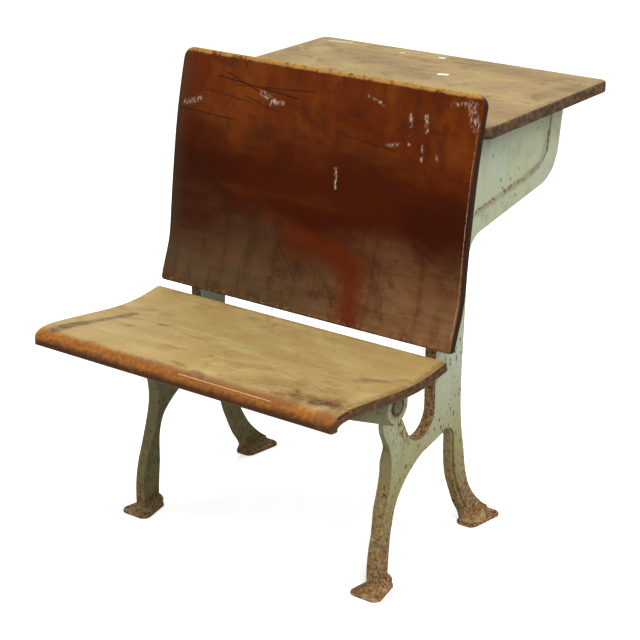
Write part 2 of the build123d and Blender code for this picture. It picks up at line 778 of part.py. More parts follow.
def desk_screw_planes():
    """Screws up through a casting's top flange into the desk top."""
    near = desk_setback
    length = box_end_reach - rim_width - near
    points = [Vector(near + length * share, desk_underside - flange_thickness) for share in desk_screw_shares]
    return screw_planes(points, [Vector(0, 1)] * len(points), plate_inner_face - box_top_flange / 2)


def shelf_screw_planes():
    """Screws up through a casting's ledge into the shelf."""
    start, along, square = box_floor()
    length = shelf_front_reach + shelf_rear_reach
    first = start - along * shelf_front_reach - square * flange_thickness
    points = [first + along * length * share for share in shelf_screw_shares]
    return screw_planes(points, [square] * len(points), plate_inner_face - ledge_width / 2)


def screw_well(plane, thickness):
    """Hole through a flange for a screw's shank, with a shallow flat under its head."""
    hole = Pos(0, 0, thickness / 2) * Cylinder(screw_radius + screw_clearance, thickness * 2)
    flat_radius = screw_head_radius + screw_hole_clearance
    flat = Pos(0, 0, -spot_face_depth) * Cylinder(
        flat_radius, spot_face_depth * 2, align=(Align.CENTER, Align.CENTER, Align.MIN))
    return plane * (hole + flat)


def wood_screw(plane, length):
    """Round-headed wood screw with its slot, its head seated in the flat of the flange."""
    seat_z = spot_face_depth
    dome = Cylinder(screw_head_radius, screw_head_height, align=(Align.CENTER, Align.CENTER, Align.MAX))
    dome = chamfer(dome.edges().group_by(Axis.Z)[0], screw_head_chamfer)
    shank = Cylinder(screw_radius, length, align=(Align.CENTER, Align.CENTER, Align.MIN))
    shank = chamfer(shank.edges().group_by(Axis.Z)[-1], screw_radius / 2)
    slot_z = -screw_head_height + screw_slot_depth / 2
    slot = Pos(0, 0, slot_z) * Box(screw_head_radius * 3, screw_slot_width, screw_slot_depth)
    return plane * Pos(0, 0, seat_z) * (dome + shank - slot)


def screw_set(planes, length):
    """Row of wood screws of one length."""
    return Compound([wood_screw(plane, length) for plane in planes])


def piloted(board, planes, length):
    """Board with the pilot holes of its screws, left and right."""
    depth = spot_face_depth + length + screw_clearance
    for plane in planes:
        hole = plane * Cylinder(
            screw_radius + screw_clearance, depth, align=(Align.CENTER, Align.CENTER, Align.MIN))
        board -= hole
        board -= mirror(hole, about=Plane.YZ)
    return board


def washer_face():
    """X of the washer's outer face, beside the seat arm's hub."""
    return plate_inner_face - side_running_gap * 2 - arm_hub_length


def pivot_bolt():
    """Round-headed bolt that the seat turns on."""
    seat_x = outer_face - knuckle_recess_depth
    tip_x = washer_face() - washer_thickness - nut_thickness - bolt_tip
    shank = pivot_cylinder(bolt_radius, tip_x, seat_x + cut_overrun)
    shank = chamfer(shank.edges().group_by(Axis.X)[0], bolt_tip_chamfer)
    head = pivot_cylinder(bolt_head_radius, seat_x, seat_x + bolt_head_height)
    head = chamfer(head.edges().group_by(Axis.X)[-1], bolt_head_chamfer)
    return shank + head


def pivot_washer():
    """Washer between the seat arm's hub and the nut."""
    outer = washer_face()
    ring = pivot_cylinder(washer_radius, outer - washer_thickness, outer)
    bore = bolt_radius + bolt_hole_clearance
    return ring - pivot_cylinder(bore, outer - washer_thickness * 2, outer + cut_overrun)


def pivot_nut():
    """Hexagon nut at the inner end of the pivot bolt."""
    outer = washer_face() - washer_thickness
    place = Plane(origin=(outer, pivot_y, pivot_height), x_dir=(0, 1, 0), z_dir=(-1, 0, 0))
    body = extrude(RegularPolygon(nut_across_flats / 2, 6, major_radius=False), nut_thickness)
    corner = nut_across_flats / math.sqrt(3)
    cone = chamfer(Cylinder(corner, nut_thickness, align=(Align.CENTER, Align.CENTER, Align.MIN)).edges()
                   .filter_by(GeomType.CIRCLE), nut_chamfer)
    bore = Cylinder(bolt_radius + thread_clearance, nut_thickness * 3)
    return place * ((body & cone) - bore)


# Pieces and export

def pieces():
    """Every piece by its name. What comes in pairs is drawn on the right and mirrored to the left."""
    paired = {
        "standard": casting(),
        "seat_arm": seat_arm(),
        "pivot_bolt": pivot_bolt(),
        "pivot_washer": pivot_washer(),
        "pivot_nut": pivot_nut(),
        "seat_screws": screw_set(seat_screw_planes(), arm_flange_thickness + seat_screw_reach),
        "back_screws": screw_set(back_screw_planes(), flange_thickness + back_screw_reach),
        "desk_screws": screw_set(desk_screw_planes(), flange_thickness + desk_screw_reach),
        "shelf_screws": screw_set(shelf_screw_planes(), flange_thickness + shelf_screw_reach),
    }
    made = {
        "seat_board": seat_board(),
        "back_board": back_board(),
        "desk_top": desk_top(),
        "book_shelf": book_shelf(),
    }
    for name, piece in paired.items():
        made[name + "_right"] = piece
        made[name + "_left"] = mirror(piece, about=Plane.YZ)
    return made


os.makedirs("parts", exist_ok=True)
desk = pieces()
seat_nose_y = desk["seat_board"].bounding_box().min.Y
centred = Pos(0, -(desk_rear_y + seat_nose_y) / 2, 0)
for name, piece in desk.items():
    export_step(centred * piece, os.path.join("parts", name + ".step"))
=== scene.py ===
import logging
import math
from dataclasses import dataclass
from enum import Enum
from functools import cached_property
from typing import Sequence

import bmesh
import bpy
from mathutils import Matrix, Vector


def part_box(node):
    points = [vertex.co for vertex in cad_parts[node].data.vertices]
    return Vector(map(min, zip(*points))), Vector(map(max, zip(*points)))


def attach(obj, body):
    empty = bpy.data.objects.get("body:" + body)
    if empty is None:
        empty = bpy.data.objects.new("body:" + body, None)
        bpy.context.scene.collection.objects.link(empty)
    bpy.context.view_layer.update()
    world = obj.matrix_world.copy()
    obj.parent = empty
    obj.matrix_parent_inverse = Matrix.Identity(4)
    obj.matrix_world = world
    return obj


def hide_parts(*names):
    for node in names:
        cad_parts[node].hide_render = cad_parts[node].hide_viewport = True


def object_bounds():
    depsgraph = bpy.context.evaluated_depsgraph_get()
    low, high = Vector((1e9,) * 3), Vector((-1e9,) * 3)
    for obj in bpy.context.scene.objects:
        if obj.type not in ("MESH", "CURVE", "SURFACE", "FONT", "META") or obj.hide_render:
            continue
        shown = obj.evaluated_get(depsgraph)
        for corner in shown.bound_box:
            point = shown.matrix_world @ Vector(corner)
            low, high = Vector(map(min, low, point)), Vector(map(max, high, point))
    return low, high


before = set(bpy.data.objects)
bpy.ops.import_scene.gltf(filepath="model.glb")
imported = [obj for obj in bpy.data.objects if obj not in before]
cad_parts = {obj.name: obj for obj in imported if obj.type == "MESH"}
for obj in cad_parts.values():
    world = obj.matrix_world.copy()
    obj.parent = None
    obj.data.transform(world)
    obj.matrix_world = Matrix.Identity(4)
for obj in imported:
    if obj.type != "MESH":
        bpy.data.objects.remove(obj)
cad_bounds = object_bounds()
log = logging.getLogger("school_desk")

Triple = tuple[float, float, float]
Row = tuple[float, ...]
Material = bpy.types.Material
Node = bpy.types.Node
Piece = bpy.types.Object
Socket = bpy.types.NodeSocket
Sockets = Sequence[Socket]
Tree = bpy.types.NodeTree

MM = 0.001
WHITE = (1.0, 1.0, 1.0)

# Distance in metres below which two points of a mesh count as one
SEAM = 2e-6

# Y and Z of the seat's pivots
PIVOT = (-0.1535, 0.290)

# Which sockets of a mix node take the share, the first and the second value, and which one gives the result
MIX_SOCKETS = {"RGBA": (0, 6, 7, 2), "FLOAT": (0, 2, 3, 0)}


class Side(Enum):
    """Side of the desk, seen from the front of the seat."""

    LEFT = "left"
    RIGHT = "right"


class Carrier(Enum):
    """Body of the desk that a piece moves with."""

    FRAME = "frame"
    SEAT = "seat"


class Face(Enum):
    """Plane that a mark lies in, as the shares of X, Y and Z that count for it."""

    LYING = (1.0, 1.0, 0.0)
    STANDING = (1.0, 0.0, 1.0)
    SIDEWAYS = (0.0, 1.0, 1.0)


@dataclass(frozen=True)
class Mark:
    """A stain, scuff or scratch: a soft stroke between two places on a face, in metres."""

    start: Triple
    end: Triple
    half_width: float
    feather: float
    strength: float


# Node sheets

class NodeSheet:
    """Adds nodes to one node tree and links them."""

    def __init__(self, tree: Tree) -> None:
        """Starts on a tree."""
        self.tree = tree

    def add(self, kind: str, **settings: object) -> Node:
        """Adds one node.

        Args:
            kind: Type name of the node.
            **settings: Properties to set on it.

        Returns:
            The new node.
        """
        node = self.tree.nodes.new(kind)
        for name, value in settings.items():
            setattr(node, name, value)
        return node

    def feed(self, socket: Socket, value: object) -> None:
        """Links a socket to an input, or sets the input's own value.

        Args:
            socket: Input to feed.
            value: Output socket, number, colour or vector.
        """
        if isinstance(value, Socket):
            self.tree.links.new(value, socket)
        elif socket.type == "RGBA":
            socket.default_value = (*value, 1.0)
        else:
            socket.default_value = value

    def fed(self, node: Node, **values: object) -> Node:
        """Feeds inputs of a node by their names.

        Args:
            node: Node to feed.
            **values: What feeds each input, an underscore standing for a space.

        Returns:
            The node.
        """
        for name, value in values.items():
            self.feed(node.inputs[name.replace("_", " ")], value)
        return node

    def filled(self, node: Node, *values: object) -> Node:
        """Feeds the first inputs of a node in their order.

        Args:
            node: Node to feed.
            *values: What feeds each input.

        Returns:
            The node.
        """
        for socket, value in zip(node.inputs, values):
            self.feed(socket, value)
        return node

    def sums(self, operation: str, *values: object, clamp: bool = False) -> Socket:
        """Works out a number, kept between 0 and 1 if it is to be clamped."""
        node = self.add("ShaderNodeMath", operation=operation, use_clamp=clamp)
        return self.filled(node, *values).outputs[0]

    def times(self, first: object, second: object) -> Socket:
        """Product of two numbers."""
        return self.sums("MULTIPLY", first, second)

    def plus(self, first: object, second: object, clamp: bool = False) -> Socket:
        """Sum of two numbers."""
        return self.sums("ADD", first, second, clamp=clamp)

    def minus(self, first: object, second: object) -> Socket:
        """First number less the second."""
        return self.sums("SUBTRACT", first, second)

    def scaled(self, value: object, factor: float, rest: object) -> Socket:
        """A number times a factor, added to the rest."""
        return self.sums("MULTIPLY_ADD", value, factor, rest)

    def most(self, first: object, second: object) -> Socket:
        """The larger of two numbers."""
        return self.sums("MAXIMUM", first, second)

    def vectors(self, operation: str, *values: object, scale: object = None, number: bool = False) -> Socket:
        """Works out a vector, or a number from vectors.

        Args:
            operation: Name of the calculation.
            *values: Vectors or sockets.
            scale: Factor for the SCALE operation.
            number: Whether the result is a number.

        Returns:
            Socket with the result.
        """
        node = self.filled(self.add("ShaderNodeVectorMath", operation=operation), *values)
        if scale is not None:
            self.fed(node, Scale=scale)
        return node.outputs["Value" if number else "Vector"]

    def blend(self, kind: str, *values: object) -> Socket:
        """Mixes two values.

        Args:
            kind: Kind of data, RGBA or FLOAT.
            *values: Share of the second value, the first value and the second value.

        Returns:
            Socket with the result.
        """
        node = self.add("ShaderNodeMix", data_type=kind, clamp_factor=True)
        *places, result = MIX_SOCKETS[kind]
        for place, value in zip(places, values):
            self.feed(node.inputs[place], value)
        return node.outputs[result]

    def mix(self, share: object, first: object, second: object) -> Socket:
        """Mixes two colours by the share of the second."""
        return self.blend("RGBA", share, first, second)

    def between(self, share: object, first: object, second: object) -> Socket:
        """Mixes two numbers by the share of the second."""
        return self.blend("FLOAT", share, first, second)

    def coated(self, colour: object, *coats: tuple[object, object]) -> Socket:
        """Lays coats over a colour.

        Args:
            colour: Colour below.
            *coats: Mask and colour of each coat, from the lowest up.

        Returns:
            Colour socket.
        """
        for share, coat in coats:
            colour = self.mix(share, colour, coat)
        return colour

    def rise(self, value: object, low: float, high: float, start: float = 0.0, end: float = 1.0) -> Socket:
        """Soft step of a number.

        Args:
            value: Number to judge.
            low: Where the step starts.
            high: Where it ends. It may be lower than where it starts.
            start: Result before the step.
            end: Result after it.

        Returns:
            Number socket.
        """
        node = self.add("ShaderNodeMapRange", interpolation_type="SMOOTHSTEP", clamp=True)
        return self.filled(node, value, low, high, start, end).outputs[0]

    def noise(self, place: object, scale: float, detail: float = 4.0, rough: float = 0.55, twist: float = 0.0,
              stretch: Triple | None = None, coloured: bool = False) -> Socket:
        """Cloudy noise.

        Args:
            place: Vector to read it at.
            scale: Patches per metre.
            detail: Number of finer layers.
            rough: Strength of the finer layers.
            twist: How far it is distorted.
            stretch: Factor for each axis of the place.
            coloured: Whether the result is a colour.

        Returns:
            Number or colour socket.
        """
        node = self.add("ShaderNodeTexNoise", noise_dimensions="3D")
        place = self.stretched(place, stretch) if stretch else place
        self.fed(node, Vector=place, Scale=scale, Detail=detail, Roughness=rough, Distortion=twist)
        return node.outputs["Color"] if coloured else node.outputs[0]

    def stretched(self, place: object, shares: Triple) -> Socket:
        """Place with each axis stretched by its own factor."""
        return self.vectors("MULTIPLY", place, shares)

    def parts(self, place: object) -> Sockets:
        """The three numbers of a vector."""
        return self.filled(self.add("ShaderNodeSeparateXYZ"), place).outputs

    def joined(self, x: object, y: object, z: object) -> Socket:
        """Vector from three numbers."""
        return self.filled(self.add("ShaderNodeCombineXYZ"), x, y, z).outputs[0]

    def seen(self) -> Socket:
        """1 for what the camera itself sees, 0 for light on its way."""
        return self.add("ShaderNodeLightPath").outputs["Is Camera Ray"]


class GroupSheet(NodeSheet):
    """Sheet of a new node group."""

    def __init__(self, name: str, inputs: dict[str, str], outputs: dict[str, str],
                 kind: str = "ShaderNodeTree") -> None:
        """Starts the group.

        Args:
            name: Name of the group.
            inputs: Name and kind of each input.
            outputs: Name and kind of each output.
            kind: Type name of its tree.
        """
        super().__init__(bpy.data.node_groups.new(name, kind))
        for way, sockets in (("INPUT", inputs), ("OUTPUT", outputs)):
            for label, data in sockets.items():
                self.tree.interface.new_socket(label, in_out=way, socket_type=f"NodeSocket{data}")
        self.taken = self.add("NodeGroupInput").outputs
        self.given = self.add("NodeGroupOutput")

    def done(self, **results: object) -> Tree:
        """Feeds the group's outputs and hands the group over."""
        self.fed(self.given, **results)
        return self.tree


class SharedEffects:
    """Shader groups that several finishes share."""

    dark_rust: Triple = (0.085, 0.043, 0.019)
    light_rust: Triple = (0.335, 0.185, 0.076)
    pale_rust: Triple = (0.46, 0.33, 0.175)

    def __init__(self) -> None:
        """Builds every group once."""
        self.stroke = self._stroke()
        self.grain = self._grain()
        self.rust = self._rust()
        self.wear = self._wear()

    def _stroke(self) -> Tree:
        """Soft stroke between two places, laid over the marks before it.

        Returns:
            The group.
        """
        numbers = ("Half Width", "Feather", "Strength", "Before")
        inputs = {**dict.fromkeys(("Place", "Start", "End"), "Vector"), **dict.fromkeys(numbers, "Float")}
        sheet = GroupSheet("soft_stroke", inputs, {"Mask": "Float"})
        taken = sheet.taken
        away = sheet.vectors("SUBTRACT", taken["Place"], taken["Start"])
        run = sheet.vectors("SUBTRACT", taken["End"], taken["Start"])
        length = sheet.vectors("DOT_PRODUCT", run, run, number=True)
        along = sheet.vectors("DOT_PRODUCT", away, run, number=True)
        share = sheet.sums("DIVIDE", along, sheet.most(length, 1e-9), clamp=True)
        gap = sheet.vectors("SUBTRACT", away, sheet.vectors("SCALE", run, scale=share))
        past = sheet.minus(sheet.vectors("LENGTH", gap, number=True), taken["Half Width"])
        mask = sheet.rise(sheet.sums("DIVIDE", past, taken["Feather"]), -0.5, 1.0, 1.0, 0.0)
        return sheet.done(Mask=sheet.most(sheet.times(mask, taken["Strength"]), taken["Before"]))

    def _grain(self) -> Tree:
        """Wood grain along the first axis of its place.

        Returns:
            The group.
        """
        outputs = dict.fromkeys(("Streaks", "Figured", "Pores"), "Float")
        sheet = GroupSheet("wood_grain", {"Place": "Vector", "Figure": "Float"}, outputs)
        place = sheet.taken["Place"]
        sway = sheet.noise(place, 1.0, 3.0, stretch=(2.2, 9.0, 9.0))
        swayed = sheet.vectors("ADD", place, sheet.joined(0.0, sheet.times(sway, 0.035), 0.0))
        fine = sheet.noise(swayed, 1.0, 5.0, 0.6, stretch=(9.0, 420.0, 60.0))
        broad = sheet.noise(swayed, 1.0, 4.0, 0.6, stretch=(2.6, 62.0, 12.0))
        rings = sheet.sums("SINE", sheet.times(sway, sheet.taken["Figure"]))
        pores = sheet.noise(swayed, 1.0, 2.0, 0.5, stretch=(70.0, 1500.0, 90.0))
        return sheet.done(Streaks=sheet.between(0.5, fine, broad), Figured=sheet.scaled(rings, 0.5, 0.5),
                          Pores=sheet.rise(pores, 0.6, 0.72))

    def _rust(self) -> Tree:
        """Rust that spreads over a surface as its cover grows from 0 to 1.

        Returns:
            The group.
        """
        outputs = {"Rusted": "Float", "Colour": "Color", "Height": "Float"}
        sheet = GroupSheet("creeping_rust", {"Place": "Vector", "Cover": "Float"}, outputs)
        place = sheet.taken["Place"]
        cloud = sheet.noise(place, 190.0, 8.0, 0.72, stretch=(1.0, 1.0, 0.6))
        bare = sheet.minus(1.0, sheet.taken["Cover"])
        rusted = sheet.rise(sheet.minus(sheet.rise(cloud, 0.30, 0.70), bare), -0.20, 0.22)
        tint = sheet.noise(place, 210.0, 7.0, 0.68)
        pale = sheet.noise(place, 60.0, 5.0, 0.6)
        colour = sheet.coated(self.dark_rust, (sheet.rise(tint, 0.40, 0.60), self.light_rust),
                              (sheet.rise(pale, 0.50, 0.70, 0.0, 0.60), self.pale_rust))
        return sheet.done(Rusted=rusted, Colour=colour, Height=sheet.times(tint, rusted))

    def _wear(self) -> Tree:
        """Paint worn off the edges, ragged along them.

        Returns:
            The group.
        """
        sheet = GroupSheet("edge_wear", {"Place": "Vector", "Edge": "Float", "Amount": "Float"}, {"Worn": "Float"})
        cloud = sheet.noise(sheet.taken["Place"], 120.0, 6.0, 0.7)
        limit = sheet.minus(1.0, sheet.taken["Amount"])
        over = sheet.minus(sheet.times(cloud, 1.25), sheet.times(limit, 0.9))
        return sheet.done(Worn=sheet.times(sheet.rise(over, 0.0, 0.14), sheet.taken["Edge"]))


class Surface(NodeSheet):
    """Sheet of a new material with a principled shader, in the piece's own coordinates."""

    def __init__(self, name: str, effects: SharedEffects) -> None:
        """Starts the material.

        Args:
            name: Name of the material.
            effects: Shader groups that it can use.
        """
        self.material = bpy.data.materials.new(name)
        self.material.use_nodes = True
        super().__init__(self.material.node_tree)
        self.effects = effects
        self.coordinates = self.add("ShaderNodeTexCoord").outputs
        self.place = self.coordinates["Object"]

    @cached_property
    def axes(self) -> Sockets:
        """The three parts of the place."""
        return self.parts(self.place)

    @cached_property
    def normal(self) -> Sockets:
        """The three parts of the direction that the surface faces."""
        return self.parts(self.coordinates["Normal"])

    def noted(self, name: str) -> Socket:
        """Number that the mesh's faces carry under a name."""
        return self.add("ShaderNodeAttribute", attribute_name=name).outputs["Fac"]

    def use(self, group: Tree, **values: object) -> Sockets:
        """Outputs of a shared group whose inputs are fed by their names."""
        return self.fed(self.add("ShaderNodeGroup", node_tree=group), **values).outputs

    def strokes(self, face: Face, marks: Sequence[Mark], ragged: float, *broken: object) -> object:
        """Lays soft strokes on a face.

        Args:
            face: Plane that the marks lie in.
            marks: The strokes.
            ragged: How far their edges wander, in metres.
            *broken: Number and limits of the soft step that breaks them up, if any.

        Returns:
            Strength of the marks.
        """
        cloud = self.noise(self.place, 130.0, 5.0, 0.65, coloured=True)
        off = self.vectors("SUBTRACT", cloud, (0.5, 0.5, 0.5))
        wander = self.vectors("SCALE", off, scale=ragged * 2)
        flat = self.stretched(self.vectors("ADD", self.place, wander), face.value)
        mask: object = 0.0
        for mark in marks:
            mask = self.use(self.effects.stroke, Place=flat, Start=mark.start, End=mark.end,
                            Half_Width=mark.half_width, Feather=mark.feather, Strength=mark.strength,
                            Before=mask)["Mask"]
        return self.times(mask, self.rise(*broken)) if broken else mask

    def shade(self, colour: Socket, rough: Socket, height: Socket, depth: float, gloss: float = 0.5) -> None:
        """Feeds the shader.

        Args:
            colour: Colour of the surface.
            rough: Its roughness.
            height: Height of its relief.
            depth: Depth of the relief in metres.
            gloss: Strength of its highlights.
        """
        bump = self.fed(self.add("ShaderNodeBump"), Strength=1.0, Distance=depth, Height=height)
        self.fed(self.tree.nodes["Principled BSDF"], Base_Color=colour, Roughness=rough,
                 Specular_IOR_Level=gloss, Normal=bump.outputs["Normal"])


# Finishes

@dataclass(frozen=True)
class Finish:
    """Base of every finish."""

    effects: SharedEffects
    name: str = ""

    def material(self) -> Material:
        """Builds the material.

        Returns:
            The material.
        """
        sheet = Surface(self.name, self.effects)
        self.dress(sheet)
        return sheet.material

    def dress(self, sheet: Surface) -> None:
        """Sets colour, gloss and relief, which each finish does in its own way."""
        raise NotImplementedError


@dataclass(frozen=True)
class SagePaint(Finish):
    """Old sage green paint over cast iron, chipped at the edges and rusty towards the feet."""

    name: str = "sage_paint_over_iron"
    paint: Triple = (0.400, 0.430, 0.280)
    cool_paint: Triple = (0.400, 0.450, 0.330)
    # Colour of real dirt, also used as painted shade on the inner sides and low on the front faces
    grime_and_shade: Triple = (0.180, 0.150, 0.058)
    olive: Triple = (0.275, 0.235, 0.080)
    # Painted shade in the concave rounded edges
    hollow_shade: Triple = (0.048, 0.038, 0.019)
    # Soot, also used as painted shade low on the inner sides and on the left legs
    soot_and_shade: Triple = (0.056, 0.050, 0.017)
    # Near black: painted shadow of the back board on the front faces of the posts
    shade: Triple = (0.022, 0.018, 0.012)
    speck: Triple = (0.095, 0.042, 0.016)
    bare_iron: Triple = (0.135, 0.075, 0.036)
    # Rust-brown colour of the marks below, one of which is painted shadow just under the desk top
    smear_and_shade: Triple = (0.205, 0.150, 0.078)
    # Painted shade in dark rings and lines, such as round the pivot bolts
    dark: Triple = (0.036, 0.027, 0.016)
    grime_amount: float = 0.45
    edge_amount: float = 0.50
    rust_top: float = 0.230
    front_rust_top: float = 0.265
    inner_sides: tuple[float, float] = (0.2185, 0.212)
    notch_centre: tuple[float, float] = (-0.09053, 0.253)
    notch_radius: float = 0.038
    marks: tuple[Mark, ...] = ()
    shade_marks: tuple[Mark, ...] = ()
    smears_and_shade: tuple[Mark, ...] = ()

    def dress(self, sheet: Surface) -> None:
        """Sets colour, gloss and relief.

        Args:
            sheet: Sheet of the material.
        """
        place = sheet.place
        cloud = sheet.noise(place, 26.0, 7.0, 0.7)
        cast = sheet.noise(place, 420.0, 4.0, 0.6)
        rust = sheet.use(self.effects.rust, Place=place, Cover=self._cover(sheet))
        worn = sheet.use(self.effects.wear, Place=place, Edge=sheet.noted("edge"), Amount=self.edge_amount)["Worn"]
        specks = self._specks(sheet)
        colour = sheet.coated(
            self._paint(sheet, cloud),
            (sheet.times(specks, 0.9), self.speck),
            (sheet.times(worn, 0.85), self.bare_iron),
            (sheet.strokes(Face.SIDEWAYS, self.smears_and_shade, 0.0040, cloud, 0.32, 0.58, 0.45, 1.0), self.smear_and_shade),
            (rust["Rusted"], rust["Colour"]),
            # Soot and painted shade low on the inner sides and on the left legs
            (self._soot_and_shade_mask(sheet), self.soot_and_shade),
            # Painted shade: dark rings and lines in recesses and grooves
            (sheet.strokes(Face.SIDEWAYS, self.shade_marks, 0.0012), self.dark),
        )
        rough = sheet.between(rust["Rusted"], sheet.rise(cloud, 0.3, 0.7, 0.42, 0.62), 0.86)
        height = sheet.scaled(specks, -0.8, sheet.times(cast, 0.5))
        height = sheet.scaled(worn, -0.5, sheet.scaled(rust["Height"], 1.3, height))
        sheet.shade(colour, rough, height, 0.00035, gloss=0.16)

    def _paint(self, sheet: Surface, cloud: Socket) -> Socket:
        """Paint with its patches, runs and dirt, and painted shade on the inner sides, low on the front faces,
        under the back board and in the hollows.

        Args:
            sheet: Sheet of the material.
            cloud: Shared noise of the surface.

        Returns:
            Colour socket.
        """
        x, _, z = sheet.axes
        patches = sheet.noise(sheet.place, 9.0, 4.0, 0.6)
        runs = sheet.noise(sheet.place, 1.0, 5.0, 0.65, stretch=(60.0, 60.0, 9.0))
        facing = sheet.rise(sheet.normal[1], -0.30, -0.80)
        # Painted shade: the inner sides and the lower front faces are darkened
        inner = sheet.rise(sheet.sums("ABSOLUTE", x), *self.inner_sides, 0.0, 0.55)
        shaded = sheet.times(facing, sheet.rise(z, 0.37, 0.22, 0.10, 0.62))
        dirty = sheet.plus(sheet.rise(cloud, 0.50, 0.74, 0.0, self.grime_amount),
                           sheet.rise(z, 0.36, 0.20, 0.0, 0.12))
        # Painted shadow of the back board on the front faces of the posts, fading out towards the top
        painted_back_shadow = sheet.times(facing, sheet.rise(z, 0.318, 0.338))
        return sheet.coated(
            self.paint,
            (sheet.rise(patches, 0.38, 0.62), self.cool_paint),
            (sheet.rise(z, 0.33, 0.12, 0.0, 0.85), self.olive),
            (sheet.rise(runs, 0.50, 0.78, 0.0, 0.30), self.grime_and_shade),
            # Dirt from the cloud and lower down, plus painted shade on the inner sides and low on the front faces
            (sheet.plus(dirty, sheet.most(inner, shaded), clamp=True), self.grime_and_shade),
            (sheet.times(painted_back_shadow, sheet.rise(z, 0.66, 0.50, 0.0, 0.95)), self.shade),
            # Painted shade in the concave rounded edges
            (sheet.times(sheet.noted("hollow"), 0.85), self.hollow_shade),
        )

    def _soot_and_shade_mask(self, sheet: Surface) -> Socket:
        """Dark colour low down: soot and painted shade on the inner sides, where no cloth reaches, and painted
        shade on the left legs.

        Args:
            sheet: Sheet of the material.

        Returns:
            Mask socket.
        """
        x, _, z = sheet.axes
        outward = sheet.times(sheet.normal[0], sheet.sums("SIGN", x))
        inside = sheet.rise(outward, -0.2, -0.7, 0.0, 0.62)
        # Painted shade: the left standard is darker
        left = sheet.rise(x, -0.10, -0.18, 0.0, 0.45)
        return sheet.times(sheet.most(inside, left), sheet.rise(z, 0.42, 0.28))

    def _cover(self, sheet: Surface) -> Socket:
        """How far rust has spread: most at the feet, in the notch and on the front of the legs.

        Args:
            sheet: Sheet of the material.

        Returns:
            Number socket from 0 to 1.
        """
        x, y, z = sheet.axes
        facing = sheet.rise(sheet.normal[1], -0.35, -0.8)
        front = sheet.times(facing, sheet.rise(z, self.front_rust_top, 0.10, 0.0, 0.56))
        cover = sheet.most(sheet.rise(z, self.rust_top, 0.015, 0.0, 0.76), front)
        cover = sheet.times(cover, sheet.rise(x, 0.10, -0.10, 1.0, 0.60))
        cover = sheet.most(cover, sheet.rise(z, 0.055, 0.012, 0.0, 0.95))
        y_off = sheet.minus(y, self.notch_centre[0])
        z_off = sheet.sums("MINIMUM", sheet.minus(z, self.notch_centre[1]), 0.0)
        away = sheet.vectors("LENGTH", sheet.joined(y_off, z_off, 0.0), number=True)
        wall = sheet.rise(away, self.notch_radius + 0.0016, self.notch_radius + 0.0004, 0.0, 0.84)
        wall = sheet.times(wall, sheet.rise(z, 0.375, 0.365))
        inward = sheet.rise(sheet.sums("ABSOLUTE", x), *self.inner_sides, 0.0, 0.16)
        cover = sheet.plus(sheet.most(cover, wall), inward)
        return sheet.plus(cover, sheet.strokes(Face.SIDEWAYS, self.marks, 0.0035), clamp=True)

    def _specks(self, sheet: Surface) -> Socket:
        """Small rust specks, drawn out downwards and in crowds.

        Args:
            sheet: Sheet of the material.

        Returns:
            Mask socket.
        """
        place, z = sheet.place, sheet.axes[2]
        drawn = sheet.vectors("SCALE", sheet.noise(place, 300.0, 2.0, coloured=True), scale=0.003)
        moved = sheet.stretched(sheet.vectors("ADD", place, drawn), (1.0, 1.0, 0.55))
        cells = sheet.add("ShaderNodeTexVoronoi", voronoi_dimensions="3D", feature="F1")
        cells = sheet.fed(cells, Vector=moved, Scale=225.0).outputs
        chance, bulk = sheet.parts(cells["Color"])[:2]
        crowd = sheet.rise(sheet.noise(place, 18.0, 4.0, 0.65), 0.42, 0.60, 1.00, 0.66)
        limit = sheet.plus(sheet.rise(z, 0.28, 0.10, 0.0, -0.28), sheet.rise(z, 0.46, 0.54, 0.0, 0.24))
        kept = sheet.sums("GREATER_THAN", chance, sheet.plus(crowd, limit))
        size = sheet.scaled(sheet.sums("POWER", bulk, 2.0), 0.42, 0.10)
        return sheet.times(sheet.rise(sheet.minus(cells["Distance"], size), 0.06, -0.04), kept)


@dataclass(frozen=True)
class ArmPaint(SagePaint):
    """The same paint on the seat arms, painted darker as the shade of the seat that they always lie under, and with
    more dirt.
    """

    name: str = "shaded_sage_paint"
    # Darker paint: painted shade of the seat
    paint: Triple = (0.195, 0.195, 0.090)
    cool_paint: Triple = (0.155, 0.160, 0.080)
    grime_and_shade: Triple = (0.070, 0.058, 0.028)
    grime_amount: float = 0.75
    edge_amount: float = 0.60


@dataclass(frozen=True)
class BoltPaint(SagePaint):
    """The same paint on the heads of the pivot bolts, nearly black with grime."""

    name: str = "grimy_bolt_paint"
    paint: Triple = (0.175, 0.165, 0.095)
    cool_paint: Triple = (0.120, 0.105, 0.060)
    grime_and_shade: Triple = (0.060, 0.042, 0.022)
    grime_amount: float = 0.9
    edge_amount: float = 0.55


